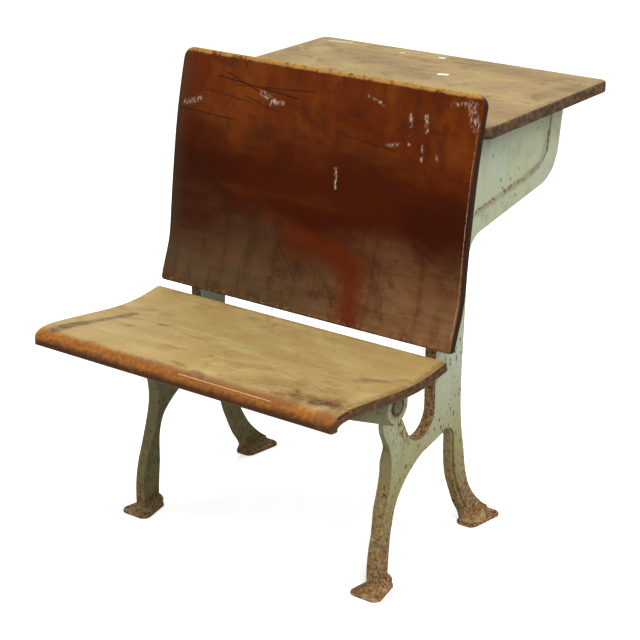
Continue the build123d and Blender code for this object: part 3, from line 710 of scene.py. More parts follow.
@dataclass(frozen=True)
class RustySteel(Finish):
    """Dark rusty steel of screws, bolts, washers and nuts."""

    name: str = "rusty_steel"
    metal: Triple = (0.16, 0.135, 0.11)
    dark_metal: Triple = (0.07, 0.055, 0.042)
    rubbed: Triple = (0.27, 0.23, 0.19)
    cover: float = 0.6
    edge_amount: float = 0.6
    metallic: float = 0.55

    def dress(self, sheet: Surface) -> None:
        """Sets colour, gloss and relief.

        Args:
            sheet: Sheet of the material.
        """
        place = sheet.place
        rust = sheet.use(self.effects.rust, Place=place, Cover=self.cover)
        worn = sheet.use(self.effects.wear, Place=place, Edge=sheet.noted("edge"), Amount=self.edge_amount)["Worn"]
        cloud = sheet.noise(place, 500.0, 4.0, 0.6)
        colour = sheet.coated(
            self.metal,
            (sheet.rise(cloud, 0.4, 0.65), self.dark_metal),
            (rust["Rusted"], rust["Colour"]),
            (sheet.times(worn, 0.6), self.rubbed),
        )
        metallic = sheet.times(sheet.minus(1.0, rust["Rusted"]), self.metallic)
        sheet.fed(sheet.tree.nodes["Principled BSDF"], Metallic=metallic)
        height = sheet.scaled(rust["Height"], 1.0, sheet.times(cloud, 0.3))
        sheet.shade(colour, sheet.between(rust["Rusted"], 0.42, 0.85), height, 0.0002)


@dataclass(frozen=True)
class Woodwork(Finish):
    """Base of the wood finishes, whose grain runs along the desk's width."""

    def figure(self, sheet: Surface, across: Triple, rings: float) -> Sockets:
        """Grain of a board.

        Args:
            sheet: Sheet of the material.
            across: Direction square to the grain along the face.
            rings: How many rings its broad figure has.

        Returns:
            Outputs of the grain group.
        """
        height = sheet.vectors("DOT_PRODUCT", sheet.place, across, number=True)
        turned = sheet.joined(sheet.axes[0], height, 0.0)
        return sheet.use(self.effects.grain, Place=turned, Figure=rings)

    def ends(self, sheet: Surface, low: float, high: float) -> Socket:
        """Mask of a board's two ends."""
        return sheet.rise(sheet.sums("ABSOLUTE", sheet.normal[0]), low, high)


@dataclass(frozen=True)
class SeatVarnish(Woodwork):
    """Honey varnish of the seat, worn pale on top and orange on the rolled front edge."""

    name: str = "seat_varnish"
    bare: Triple = (0.345, 0.238, 0.080)
    pale: Triple = (0.405, 0.300, 0.125)
    streak: Triple = (0.225, 0.135, 0.044)
    ring: Triple = (0.25, 0.150, 0.050)
    pore: Triple = (0.13, 0.070, 0.027)
    blotch: Triple = (0.235, 0.125, 0.036)
    fleck: Triple = (0.19, 0.110, 0.040)
    honey: Triple = (0.195, 0.054, 0.003)
    orange: Triple = (0.31, 0.100, 0.006)
    chip: Triple = (0.44, 0.23, 0.050)
    dark: Triple = (0.040, 0.014, 0.004)
    film: Triple = (0.130, 0.058, 0.018)
    stain: Triple = (0.072, 0.033, 0.014)
    tinge: Triple = (0.26, 0.27, 0.13)
    # Painted highlight along the rolled front edge
    shine: Triple = (0.80, 0.68, 0.50)
    dark_ply: Triple = (0.034, 0.014, 0.005)
    light_ply: Triple = (0.100, 0.042, 0.012)
    worn_ply: Triple = (0.215, 0.098, 0.026)
    underside: Triple = (0.15, 0.09, 0.045)
    nose_y: tuple[float, float] = (-0.3360, -0.3500)
    nose_z: tuple[float, float] = (0.3620, 0.3500)
    stains: tuple[Mark, ...] = ()
    films: tuple[Mark, ...] = ()
    green: tuple[Mark, ...] = ()
    # Painted highlight along the rolled front edge
    light: tuple[Mark, ...] = ()

    def dress(self, sheet: Surface) -> None:
        """Sets colour, gloss and relief.

        Args:
            sheet: Sheet of the material.
        """
        place, normal, (_, y, z) = sheet.place, sheet.normal, sheet.axes
        grain = self.figure(sheet, (0.0, 1.0, 1.0), 26.0)
        cloud = sheet.noise(place, 17.0, 6.0, 0.62, stretch=(0.6, 1.0, 1.0))
        fine = sheet.noise(place, 110.0, 6.0, 0.7)
        blotch = sheet.noise(place, 15.0, 6.0, 0.66, 0.4, stretch=(0.7, 1.1, 1.1))
        chips = sheet.noise(place, 420.0, 3.0, 0.6, stretch=(0.5, 1.0, 1.0))
        layers = sheet.noise(place, 1.0, 3.0, stretch=(4.0, 10.0, 900.0))
        ragged = sheet.scaled(fine, 0.012, sheet.times(cloud, 0.020))
        facing = sheet.rise(normal[1], -0.25, -0.75)
        nose = sheet.most(sheet.rise(sheet.plus(y, ragged), *self.nose_y), facing)
        under_nose = sheet.times(facing, sheet.rise(sheet.scaled(fine, 0.010, z), *self.nose_z))
        rolled = sheet.coated(self.honey, (sheet.rise(fine, 0.38, 0.62), self.orange),
                              (sheet.rise(chips, 0.60, 0.68, 0.0, 0.55), self.chip))
        side = sheet.coated(self.dark_ply, (sheet.rise(layers, 0.4, 0.6), self.light_ply),
                            (sheet.rise(fine, 0.50, 0.64, 0.0, 0.60), self.worn_ply))
        stain = sheet.strokes(Face.LYING, self.stains, 0.0045, fine, 0.28, 0.58, 0.3, 1.0)
        colour = sheet.coated(
            self.bare,
            (sheet.rise(cloud, 0.36, 0.66), self.pale),
            (sheet.rise(grain["Streaks"], 0.44, 0.68, 0.0, 0.36), self.streak),
            (sheet.rise(grain["Figured"], 0.5, 1.0, 0.0, 0.16), self.ring),
            (sheet.times(grain["Pores"], 0.30), self.pore),
            (sheet.rise(blotch, 0.50, 0.66, 0.0, 0.60), self.blotch),
            (sheet.rise(fine, 0.56, 0.70, 0.0, 0.45), self.fleck),
            (sheet.times(nose, 0.95), rolled),
            (sheet.times(under_nose, 0.92), self.dark),
            (sheet.strokes(Face.LYING, self.films, 0.010, fine, 0.30, 0.60, 0.35, 1.0), self.film),
            (stain, self.stain),
            (sheet.times(sheet.strokes(Face.LYING, self.green, 0.006), 0.30), self.tinge),
            # Painted highlight: a thin bright line along the rolled front edge
            (sheet.strokes(Face.LYING, self.light, 0.0010), self.shine),
            (self.ends(sheet, 0.30, 0.7), side),
            (sheet.rise(normal[2], 0.1, -0.5, 0.0, 0.6), self.underside),
        )
        rough = sheet.plus(sheet.rise(nose, 0.0, 1.0, 0.50, 0.30), sheet.rise(cloud, 0.35, 0.65, -0.05, 0.10))
        relief = sheet.scaled(grain["Streaks"], 0.5, sheet.times(fine, 0.5))
        sheet.shade(colour, rough, sheet.scaled(stain, -0.4, relief), 0.00025, gloss=0.14)


@dataclass(frozen=True)
class BackVarnish(Woodwork):
    """Dark red varnish of the back board, orange above, with a painted sheen below, scratched and scuffed."""

    name: str = "back_varnish"
    amber: Triple = (0.104, 0.0168, 0.0010)
    # Painted warm highlights on the upper part of the board
    glow: Triple = (0.175, 0.0410, 0.0038)
    core: Triple = (0.038, 0.0052, 0.0006)
    # Painted reflection of the room on the lower part of the board, brighter to the right
    painted_sheen: Triple = (0.098, 0.0590, 0.0255)
    right_painted_sheen: Triple = (0.225, 0.1120, 0.0470)
    streak: Triple = (0.030, 0.007, 0.002)
    ring: Triple = (0.15, 0.042, 0.008)
    blot: Triple = (0.032, 0.008, 0.003)
    run: Triple = (0.034, 0.010, 0.004)
    plume: Triple = (0.094, 0.0115, 0.0012)
    left_strip: Triple = (0.050, 0.032, 0.018)
    top_wood: Triple = (0.36, 0.185, 0.038)
    foot_wood: Triple = (0.21, 0.120, 0.048)
    scuff: Triple = (0.50, 0.40, 0.31)
    bare_edge: Triple = (0.46, 0.33, 0.21)
    scratch: Triple = (0.020, 0.008, 0.004)
    end: Triple = (0.030, 0.014, 0.008)
    rear: Triple = (0.11, 0.05, 0.022)
    top: float = 0.7302
    scuffs: tuple[Mark, ...] = ()
    scratches: tuple[Mark, ...] = ()
    plumes: tuple[Mark, ...] = ()
    bright: tuple[Mark, ...] = ()

    def dress(self, sheet: Surface) -> None:
        """Sets colour, gloss and relief.

        Args:
            sheet: Sheet of the material.
        """
        place, normal, (x, _, z) = sheet.place, sheet.normal, sheet.axes
        grain = self.figure(sheet, (0.0, 0.2, 1.0), 22.0)
        cloud = sheet.noise(place, 7.0, 5.0, 0.6, 0.3, stretch=(0.8, 1.0, 1.3))
        fine = sheet.noise(place, 100.0, 6.0, 0.7)
        light = sheet.noise(place, 10.0, 6.0, 0.68, stretch=(1.0, 1.0, 0.6))
        blot = sheet.noise(place, 24.0, 6.0, 0.7, 0.3)
        upright = sheet.noise(place, 1.0, 5.0, 0.65, stretch=(34.0, 4.0, 5.0))
        crumbs = sheet.noise(place, 300.0, 4.0, 0.7, stretch=(1.0, 1.0, 0.35))
        swayed = sheet.scaled(sheet.minus(cloud, 0.5), 0.26, z)
        sheen_level = sheet.plus(swayed, sheet.rise(x, -0.08, 0.02, 0.0, 0.032))
        # Painted warm highlights on the upper part of the board
        lit = sheet.times(sheet.rise(light, 0.46, 0.66, 0.0, 0.60), sheet.rise(z, 0.55, 0.67))
        near_top = sheet.rise(sheet.scaled(fine, 0.008, z), self.top - 0.0030, self.top + 0.0015)
        top_worn = sheet.times(near_top, sheet.rise(fine, 0.34, 0.54, 0.15, 0.95))
        foot = sheet.rise(sheet.scaled(fine, -0.02, z), 0.357, 0.349, 0.0, 0.7)
        scuff = sheet.strokes(Face.STANDING, self.scuffs, 0.0026, crumbs, 0.46, 0.60, 0.0, 0.80)
        scratch = sheet.strokes(Face.STANDING, self.scratches, 0.0009, fine, 0.32, 0.45, 0.2, 1.0)
        colour = sheet.coated(
            self.core,
            (sheet.rise(swayed, 0.55, 0.69), self.amber),
            # Painted sheen on the lower part of the board, brighter to the right
            (sheet.rise(sheen_level, 0.545, 0.385, 0.0, 0.85),
             sheet.mix(sheet.rise(x, -0.10, 0.22), self.painted_sheen, self.right_painted_sheen)),
            (sheet.rise(grain["Streaks"], 0.42, 0.66, 0.0, 0.30), self.streak),
            (sheet.rise(grain["Figured"], 0.45, 1.0, 0.0, 0.20), self.ring),
            (lit, self.glow),
            (sheet.rise(blot, 0.50, 0.66, 0.0, 0.48), self.blot),
            (sheet.rise(upright, 0.50, 0.68, 0.0, 0.42), self.run),
            (sheet.times(sheet.strokes(Face.STANDING, self.plumes, 0.020), 0.95), self.plume),
            (sheet.rise(x, -0.245, -0.279, 0.0, 0.55), self.left_strip),
            (sheet.times(top_worn, sheet.rise(normal[1], 0.45, 0.1)), self.top_wood),
            (sheet.times(foot, sheet.rise(fine, 0.50, 0.58)), self.foot_wood),
            (scuff, self.scuff),
            (sheet.strokes(Face.STANDING, self.bright, 0.0014, fine, 0.36, 0.52, 0.1, 1.0), self.bare_edge),
            (scratch, self.scratch),
            (self.ends(sheet, 0.55, 0.85), self.end),
            (sheet.rise(normal[1], 0.2, 0.6, 0.0, 0.5), self.rear),
        )
        rough = sheet.plus(sheet.rise(cloud, 0.35, 0.65, 0.30, 0.42), sheet.rise(z, 0.50, 0.38, 0.0, 0.10))
        relief = sheet.scaled(grain["Streaks"], 0.35, sheet.times(fine, 0.35))
        sheet.shade(colour, sheet.scaled(scuff, 0.3, rough), sheet.scaled(scratch, -1.4, relief), 0.00022,
                    gloss=0.03)


@dataclass(frozen=True)
class DeskWood(Woodwork):
    """Weathered wood of the desk top, most of its varnish worn off."""

    name: str = "desk_wood_worn"
    bare: Triple = (0.298, 0.218, 0.083)
    tan: Triple = (0.243, 0.162, 0.055)
    brown: Triple = (0.128, 0.074, 0.028)
    ring: Triple = (0.21, 0.12, 0.046)
    stain: Triple = (0.105, 0.054, 0.022)
    spot: Triple = (0.80, 0.77, 0.70)
    side: Triple = (0.028, 0.014, 0.007)
    side_worn: Triple = (0.125, 0.066, 0.026)
    underside: Triple = (0.14, 0.085, 0.042)
    stains: tuple[Mark, ...] = ()
    spots: tuple[Mark, ...] = ()

    def dress(self, sheet: Surface) -> None:
        """Sets colour, gloss and relief.

        Args:
            sheet: Sheet of the material.
        """
        place, up = sheet.place, sheet.normal[2]
        grain = self.figure(sheet, (0.0, 1.0, 0.6), 24.0)
        cloud = sheet.noise(place, 19.0, 6.0, 0.68, 0.3, stretch=(0.7, 1.0, 1.0))
        fine = sheet.noise(place, 95.0, 6.0, 0.7)
        patch = sheet.noise(place, 24.0, 8.0, 0.74, 0.4, stretch=(0.8, 1.0, 1.0))
        edge = sheet.mix(sheet.rise(fine, 0.40, 0.65), self.side, self.side_worn)
        colour = sheet.coated(
            self.tan,
            (sheet.rise(cloud, 0.38, 0.62), self.bare),
            (sheet.rise(grain["Streaks"], 0.43, 0.66, 0.0, 0.28), self.brown),
            (sheet.rise(grain["Figured"], 0.5, 1.0, 0.0, 0.15), self.ring),
            (sheet.rise(patch, 0.52, 0.64, 0.0, 0.62), self.brown),
            (sheet.rise(fine, 0.54, 0.68, 0.0, 0.40), self.brown),
            (sheet.strokes(Face.LYING, self.stains, 0.012, fine, 0.3, 0.6, 0.4, 1.0), self.stain),
            (sheet.strokes(Face.LYING, self.spots, 0.0012), self.spot),
            (sheet.rise(sheet.sums("ABSOLUTE", up), 0.985, 0.80, 0.0, 0.94), edge),
            (sheet.rise(up, -0.2, -0.7, 0.0, 0.55), self.underside),
        )
        relief = sheet.scaled(grain["Streaks"], 0.8, sheet.times(fine, 0.5))
        sheet.shade(colour, sheet.rise(cloud, 0.35, 0.65, 0.46, 0.62), relief, 0.0003, gloss=0.18)


@dataclass(frozen=True)
class ShelfWood(DeskWood):
    """Dull unvarnished wood of the book shelf."""

    name: str = "shelf_wood_dull"
    bare: Triple = (0.30, 0.21, 0.12)
    tan: Triple = (0.235, 0.155, 0.082)
    brown: Triple = (0.13, 0.08, 0.04)
    side: Triple = (0.13, 0.08, 0.04)
    side_worn: Triple = (0.20, 0.13, 0.07)


# Pieces

def placed(name: str, data: bpy.types.ID) -> Piece:
    """Puts data into the scene as a new object.

    Args:
        name: Name of the object.
        data: Its mesh, lamp or camera.

    Returns:
        The object.
    """
    thing = bpy.data.objects.new(name, data)
    bpy.context.scene.collection.objects.link(thing)
    return thing


def shown(name: str, mesh: bpy.types.Mesh, carrier: Carrier) -> Piece:
    """Puts a mesh into the scene as a piece of the desk.

    Args:
        name: Name of the piece.
        mesh: Its mesh, in the desk's own place.
        carrier: Body that it moves with.

    Returns:
        The piece.
    """
    piece = placed(name, mesh)
    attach(piece, carrier.value)
    return piece


def settle(piece: Piece) -> None:
    """Turns a piece's modifiers into its mesh.

    Args:
        piece: The piece.
    """
    graph = bpy.context.evaluated_depsgraph_get()
    mesh = bpy.data.meshes.new_from_object(piece.evaluated_get(graph), depsgraph=graph)
    piece.modifiers.clear()
    piece.data = mesh


@dataclass
class SoftenedMetal:
    """A metal part with its sharp edges rounded as a foundry or a lathe leaves them."""

    node: str
    carrier: Carrier
    slot: str
    edge_round: float
    sharp_angle: float = 26.0
    flat_angle: float = 0.3

    def build(self, material: Material) -> Piece:
        """Copies the part, rounds its edges and notes where edges and hollows are.

        Args:
            material: Finish of the part.

        Returns:
            The piece.
        """
        sheet = bmesh.new()
        sheet.from_mesh(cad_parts[self.node].data)
        bmesh.ops.remove_doubles(sheet, verts=sheet.verts, dist=SEAM)
        bmesh.ops.dissolve_limit(sheet, angle_limit=math.radians(self.flat_angle), verts=sheet.verts,
                                 edges=sheet.edges)
        limit = math.radians(self.sharp_angle)
        sheet.faces.layers.float.new("edge")
        sheet.faces.layers.float.new("hollow")
        sharp = [edge for edge in sheet.edges if edge.is_manifold and edge.calc_face_angle(0.0) > limit]
        rounded = bmesh.ops.bevel(sheet, geom=sharp, offset=self.edge_round, offset_type="OFFSET", segments=2,
                                  profile=0.5, affect="EDGES", clamp_overlap=True)["faces"]
        bmesh.ops.recalc_face_normals(sheet, faces=sheet.faces)
        self._note_edges(sheet, rounded)
        mesh = bpy.data.meshes.new(f"{self.node}_softened")
        sheet.to_mesh(mesh)
        sheet.free()
        mesh.shade_smooth()
        mesh.materials.clear()
        mesh.materials.append(material)
        piece = shown(f"{self.node}_piece", mesh, self.carrier)
        piece.modifiers.new("even_shading", "WEIGHTED_NORMAL").keep_sharp = True
        settle(piece)
        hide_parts(self.node)
        log.info("%s: %d faces, %d edges rounded", piece.name, len(piece.data.polygons), len(sharp))
        return piece

    def _note_edges(self, sheet: bmesh.types.BMesh, rounded: Sequence[bmesh.types.BMFace]) -> None:
        """Stores which faces are rounded edges and which lie in a hollow.

        Args:
            sheet: Mesh whose faces get the numbers.
            rounded: Faces made by the rounding.
        """
        out = sheet.faces.layers.float["edge"]
        inside = sheet.faces.layers.float["hollow"]
        for face in sheet.faces:
            face[out] = face[inside] = 0.0
        for face in rounded:
            bend = sum(edge.calc_face_angle_signed(0.0) for edge in face.edges if edge.is_manifold)
            face[out if bend > 0.0 else inside] = 1.0


@dataclass
class ScrewPlaces:
    """Where the screws of some nodes sit, read from the frame itself."""

    nodes: tuple[str, ...]
    rounds: int = 24
    ring_share: float = 0.98

    def read(self) -> list[tuple[Vector, Vector, float]]:
        """Finds each screw.

        Returns:
            Middle of the seat under its head, direction to its tip, and length from there.
        """
        found = []
        for name in self.nodes:
            sheet = bmesh.new()
            sheet.from_mesh(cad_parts[name].data)
            bmesh.ops.remove_doubles(sheet, verts=sheet.verts, dist=SEAM)
            left = set(sheet.verts)
            while left:
                found.append(self._measured(self._island(left.pop(), left)))
            sheet.free()
        return sorted(found, key=lambda screw: tuple(screw[0]))

    def _island(self, first: bmesh.types.BMVert, left: set[bmesh.types.BMVert]) -> list[Vector]:
        """Places of all points joined to one point.

        Args:
            first: Point to start from.
            left: Points not yet used, from which the joined ones are taken.

        Returns:
            Their places.
        """
        part, queue = [first.co.copy()], [first]
        while queue:
            vert = queue.pop()
            for edge in vert.link_edges:
                other = edge.other_vert(vert)
                if other in left:
                    left.discard(other)
                    part.append(other.co.copy())
                    queue.append(other)
        return part

    def _measured(self, points: list[Vector]) -> tuple[Vector, Vector, float]:
        """Seat, direction and reach of one screw.

        Args:
            points: Places of all its points.

        Returns:
            Middle of the seat under its head, direction to its tip, and length from there.
        """
        middle = sum(points, Vector()) / len(points)
        axis = (max(points, key=lambda p: (p - middle).length) - middle).normalized()
        for _ in range(self.rounds):
            axis = sum(((p - middle) * (p - middle).dot(axis) for p in points), Vector()).normalized()
        along = [(p - middle).dot(axis) for p in points]
        spread = [(p - middle - axis * a).length for p, a in zip(points, along)]
        head = [a for a, s in zip(along, spread) if s > max(spread) * self.ring_share]
        if max(along) - max(head) < min(head) - min(along):
            axis, along, head = -axis, [-a for a in along], [-a for a in head]
        return middle + axis * max(head), axis, max(along) - max(head)


class ScrewSheet(GroupSheet):
    """Geometry Nodes tree: a domed head with a slot and a pointed shank at each point."""

    head_segments = 24
    head_rings = 14
    shank_sides = 16
    point_share = 0.3
    point_radius = 0.25

    def __init__(self, name: str) -> None:
        """Builds the tree.

        Args:
            name: Name of the tree.
        """
        sizes = ("Head Radius", "Head Height", "Shank Radius", "Slot Width", "Slot Depth")
        inputs = {"Places": "Geometry", **dict.fromkeys(sizes, "Float"), "Seed": "Int", "Finish": "Material"}
        super().__init__(name, inputs, {"Screws": "Geometry"}, "GeometryNodeTree")
        turn = self.turn()
        stretch = self.joined(1.0, 1.0, self.noted("reach", "FLOAT"))
        heads = self.set_out(self.head(), turn, WHITE)
        bodies = self.set_out(self.shank(), turn, stretch)
        real = self.fed(self.add("GeometryNodeRealizeInstances"), Geometry=self.together(bodies, heads))
        dressed = self.fed(self.add("GeometryNodeSetMaterial"), Geometry=real.outputs["Geometry"],
                           Material=self.taken["Finish"])
        self.done(Screws=dressed.outputs["Geometry"])

    def noted(self, name: str, kind: str) -> Socket:
        """Value that each point carries under a name."""
        node = self.add("GeometryNodeInputNamedAttribute", data_type=kind)
        return self.fed(node, Name=name).outputs["Attribute"]

    def turn(self) -> Socket:
        """Each screw's own direction, its slot turned at random.

        Returns:
            Rotation socket.
        """
        aligned = self.add("FunctionNodeAlignRotationToVector", axis="Z")
        self.fed(aligned, Vector=self.noted("axis", "FLOAT_VECTOR"))
        spin = self.fed(self.add("FunctionNodeRandomValue", data_type="FLOAT"), Seed=self.taken["Seed"])
        spin.inputs[3].default_value = math.pi
        spun = self.filled(self.add("FunctionNodeEulerToRotation"), self.joined(0.0, 0.0, spin.outputs[1]))
        turned = self.add("FunctionNodeRotateRotation", rotation_space="LOCAL")
        self.fed(turned, Rotation=aligned.outputs["Rotation"], Rotate_By=spun.outputs[0])
        return turned.outputs["Rotation"]

    def head(self) -> Socket:
        """Domed head with its slot, standing up from its seat towards -Z.

        Returns:
            Mesh socket.
        """
        radius, height, depth = (self.taken[name] for name in ("Head Radius", "Head Height", "Slot Depth"))
        ball = self.add("GeometryNodeMeshUVSphere")
        self.fed(ball, Segments=self.head_segments, Rings=self.head_rings, Radius=1.0)
        dome = self.moved(ball.outputs["Mesh"], (0.0, 0.0, 0.0), self.joined(radius, radius, height))
        wide = self.times(radius, 4.0)
        below = self.moved(self.box(wide, wide, wide), self.joined(0.0, 0.0, self.times(wide, 0.5)))
        top = self.scaled(depth, 0.4, self.times(height, -1.0))
        slot = self.moved(self.box(wide, self.taken["Slot Width"], depth), self.joined(0.0, 0.0, top))
        return self.cut(self.cut(dome, below), slot)

    def shank(self) -> Socket:
        """Shank of unit length with a pointed end, towards +Z.

        Returns:
            Mesh socket.
        """
        radius, length = self.taken["Shank Radius"], 1.0 - self.point_share
        straight = self.add("GeometryNodeMeshCylinder", fill_type="NGON")
        self.fed(straight, Vertices=self.shank_sides, Depth=1.0, Radius=radius)
        point = self.add("GeometryNodeMeshCone", fill_type="NGON")
        self.fed(point, Vertices=self.shank_sides, Depth=1.0, Radius_Bottom=radius,
                 Radius_Top=self.times(radius, self.point_radius))
        upper = self.moved(straight.outputs["Mesh"], (0.0, 0.0, length / 2), (1.0, 1.0, length))
        lower = self.moved(point.outputs["Mesh"], (0.0, 0.0, length), (1.0, 1.0, self.point_share))
        return self.together(upper, lower)

    def together(self, *parts: Socket) -> Socket:
        """Several shapes as one.

        Args:
            *parts: The shapes.

        Returns:
            Mesh socket.
        """
        node = self.add("GeometryNodeJoinGeometry")
        for part in parts:
            self.tree.links.new(part, node.inputs[0])
        return node.outputs[0]

    def box(self, *size: object) -> Socket:
        """Box that cuts the head to shape."""
        return self.fed(self.add("GeometryNodeMeshCube"), Size=self.joined(*size)).outputs["Mesh"]

    def moved(self, shape: Socket, move: object, scale: object = (1.0, 1.0, 1.0)) -> Socket:
        """Shape moved and stretched."""
        node = self.add("GeometryNodeTransform")
        return self.fed(node, Geometry=shape, Translation=move, Scale=scale).outputs["Geometry"]

    def cut(self, shape: Socket, tool: Socket) -> Socket:
        """Shape with a tool's space taken away."""
        node = self.add("GeometryNodeMeshBoolean", operation="DIFFERENCE", solver="EXACT")
        return self.filled(node, shape, tool).outputs["Mesh"]

    def set_out(self, shape: Socket, turn: Socket, scale: object) -> Socket:
        """Shape set at every place."""
        node = self.fed(self.add("GeometryNodeInstanceOnPoints"), Points=self.taken["Places"], Instance=shape)
        return self.fed(node, Rotation=turn, Scale=scale).outputs["Instances"]


@dataclass
class WoodScrews:
    """Slotted round-headed wood screws, set out by a Geometry Nodes tree at the places read from the frame."""

    name: str
    nodes: tuple[str, ...]
    carrier: Carrier
    seed: int
    head_radius: float = 0.0048
    head_height: float = 0.0028
    shank_radius: float = 0.0022
    slot_width: float = 0.001
    slot_depth: float = 0.0012
    sharp_angle: float = 38.0

    def build(self, material: Material) -> Piece:
        """Builds all the screws of one body as one piece.

        Args:
            material: Finish of the screws.

        Returns:
            The piece.
        """
        places = ScrewPlaces(self.nodes).read()
        mesh = bpy.data.meshes.new(f"{self.name}_places")
        mesh.from_pydata([place for place, _, _ in places], [], [])
        mesh.attributes.new("axis", "FLOAT_VECTOR", "POINT")
        mesh.attributes.new("reach", "FLOAT", "POINT")
        mesh.attributes["axis"].data.foreach_set("vector", [share for _, axis, _ in places for share in axis])
        mesh.attributes["reach"].data.foreach_set("value", [reach for _, _, reach in places])
        piece = shown(self.name, mesh, self.carrier)
        tree = ScrewSheet(f"{self.name}_set_out").tree
        modifier = piece.modifiers.new("screws", "NODES")
        modifier.node_group = tree
        values = {"Head Radius": self.head_radius, "Head Height": self.head_height,
                  "Shank Radius": self.shank_radius, "Slot Width": self.slot_width,
                  "Slot Depth": self.slot_depth, "Seed": self.seed, "Finish": material}
        for item in tree.interface.items_tree:
            if item.item_type == "SOCKET" and item.in_out == "INPUT" and item.name in values:
                modifier[item.identifier] = values[item.name]
        settle(piece)
        piece.data.shade_smooth()
        piece.data.set_sharp_from_angle(angle=math.radians(self.sharp_angle))
        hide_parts(*self.nodes)
        log.info("%s: %d screws, %d faces", piece.name, len(places), len(piece.data.polygons))
        return piece


# Marks of use

def mark(start: Triple, end: Triple, half: float, feather: float, strength: float) -> Mark:
    """Mark whose widths are given in millimetres."""
    return Mark(start, end, half * MM, feather * MM, strength)


def side_marks(*rows: Row) -> tuple[Mark, ...]:
    """Marks on the sides of the castings and arms.

    Args:
        *rows: Y and Z of both ends in metres, then half width and feather in millimetres, then strength.

    Returns:
        The marks.
    """
    return tuple(mark((0.0, *row[:2]), (0.0, *row[2:4]), *row[4:]) for row in rows)


def on_board(node: str, face: Face, u: float, v: float) -> Triple:
    """Place on a board, from shares of its width and of its depth or height.

    Args:
        node: Board that it is on.
        face: Plane of the board.
        u: Share of the width, from the left.
        v: Share of the depth from the front, or of the height from below.

    Returns:
        The place, with nothing along the axis that the plane leaves out.
    """
    low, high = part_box(node)
    x = low.x + (high.x - low.x) * u
    if face is Face.LYING:
        return (x, low.y + (high.y - low.y) * v, 0.0)
    return (x, 0.0, low.z + (high.z - low.z) * v)


def marks_on(node: str, face: Face, **tables: Sequence[Row]) -> dict[str, tuple[Mark, ...]]:
    """Marks of a board from tables.

    Args:
        node: Board that they are on.
        face: Plane of the board.
        **tables: Rows of each kind of mark: shares of both ends, then half width and feather in
            millimetres, then strength.

    Returns:
        The marks of each kind.
    """
    return {
        kind: tuple(mark(on_board(node, face, *row[:2]), on_board(node, face, *row[2:4]), *row[4:]) for row in rows)
        for kind, rows in tables.items()
    }


# Sub-assemblies

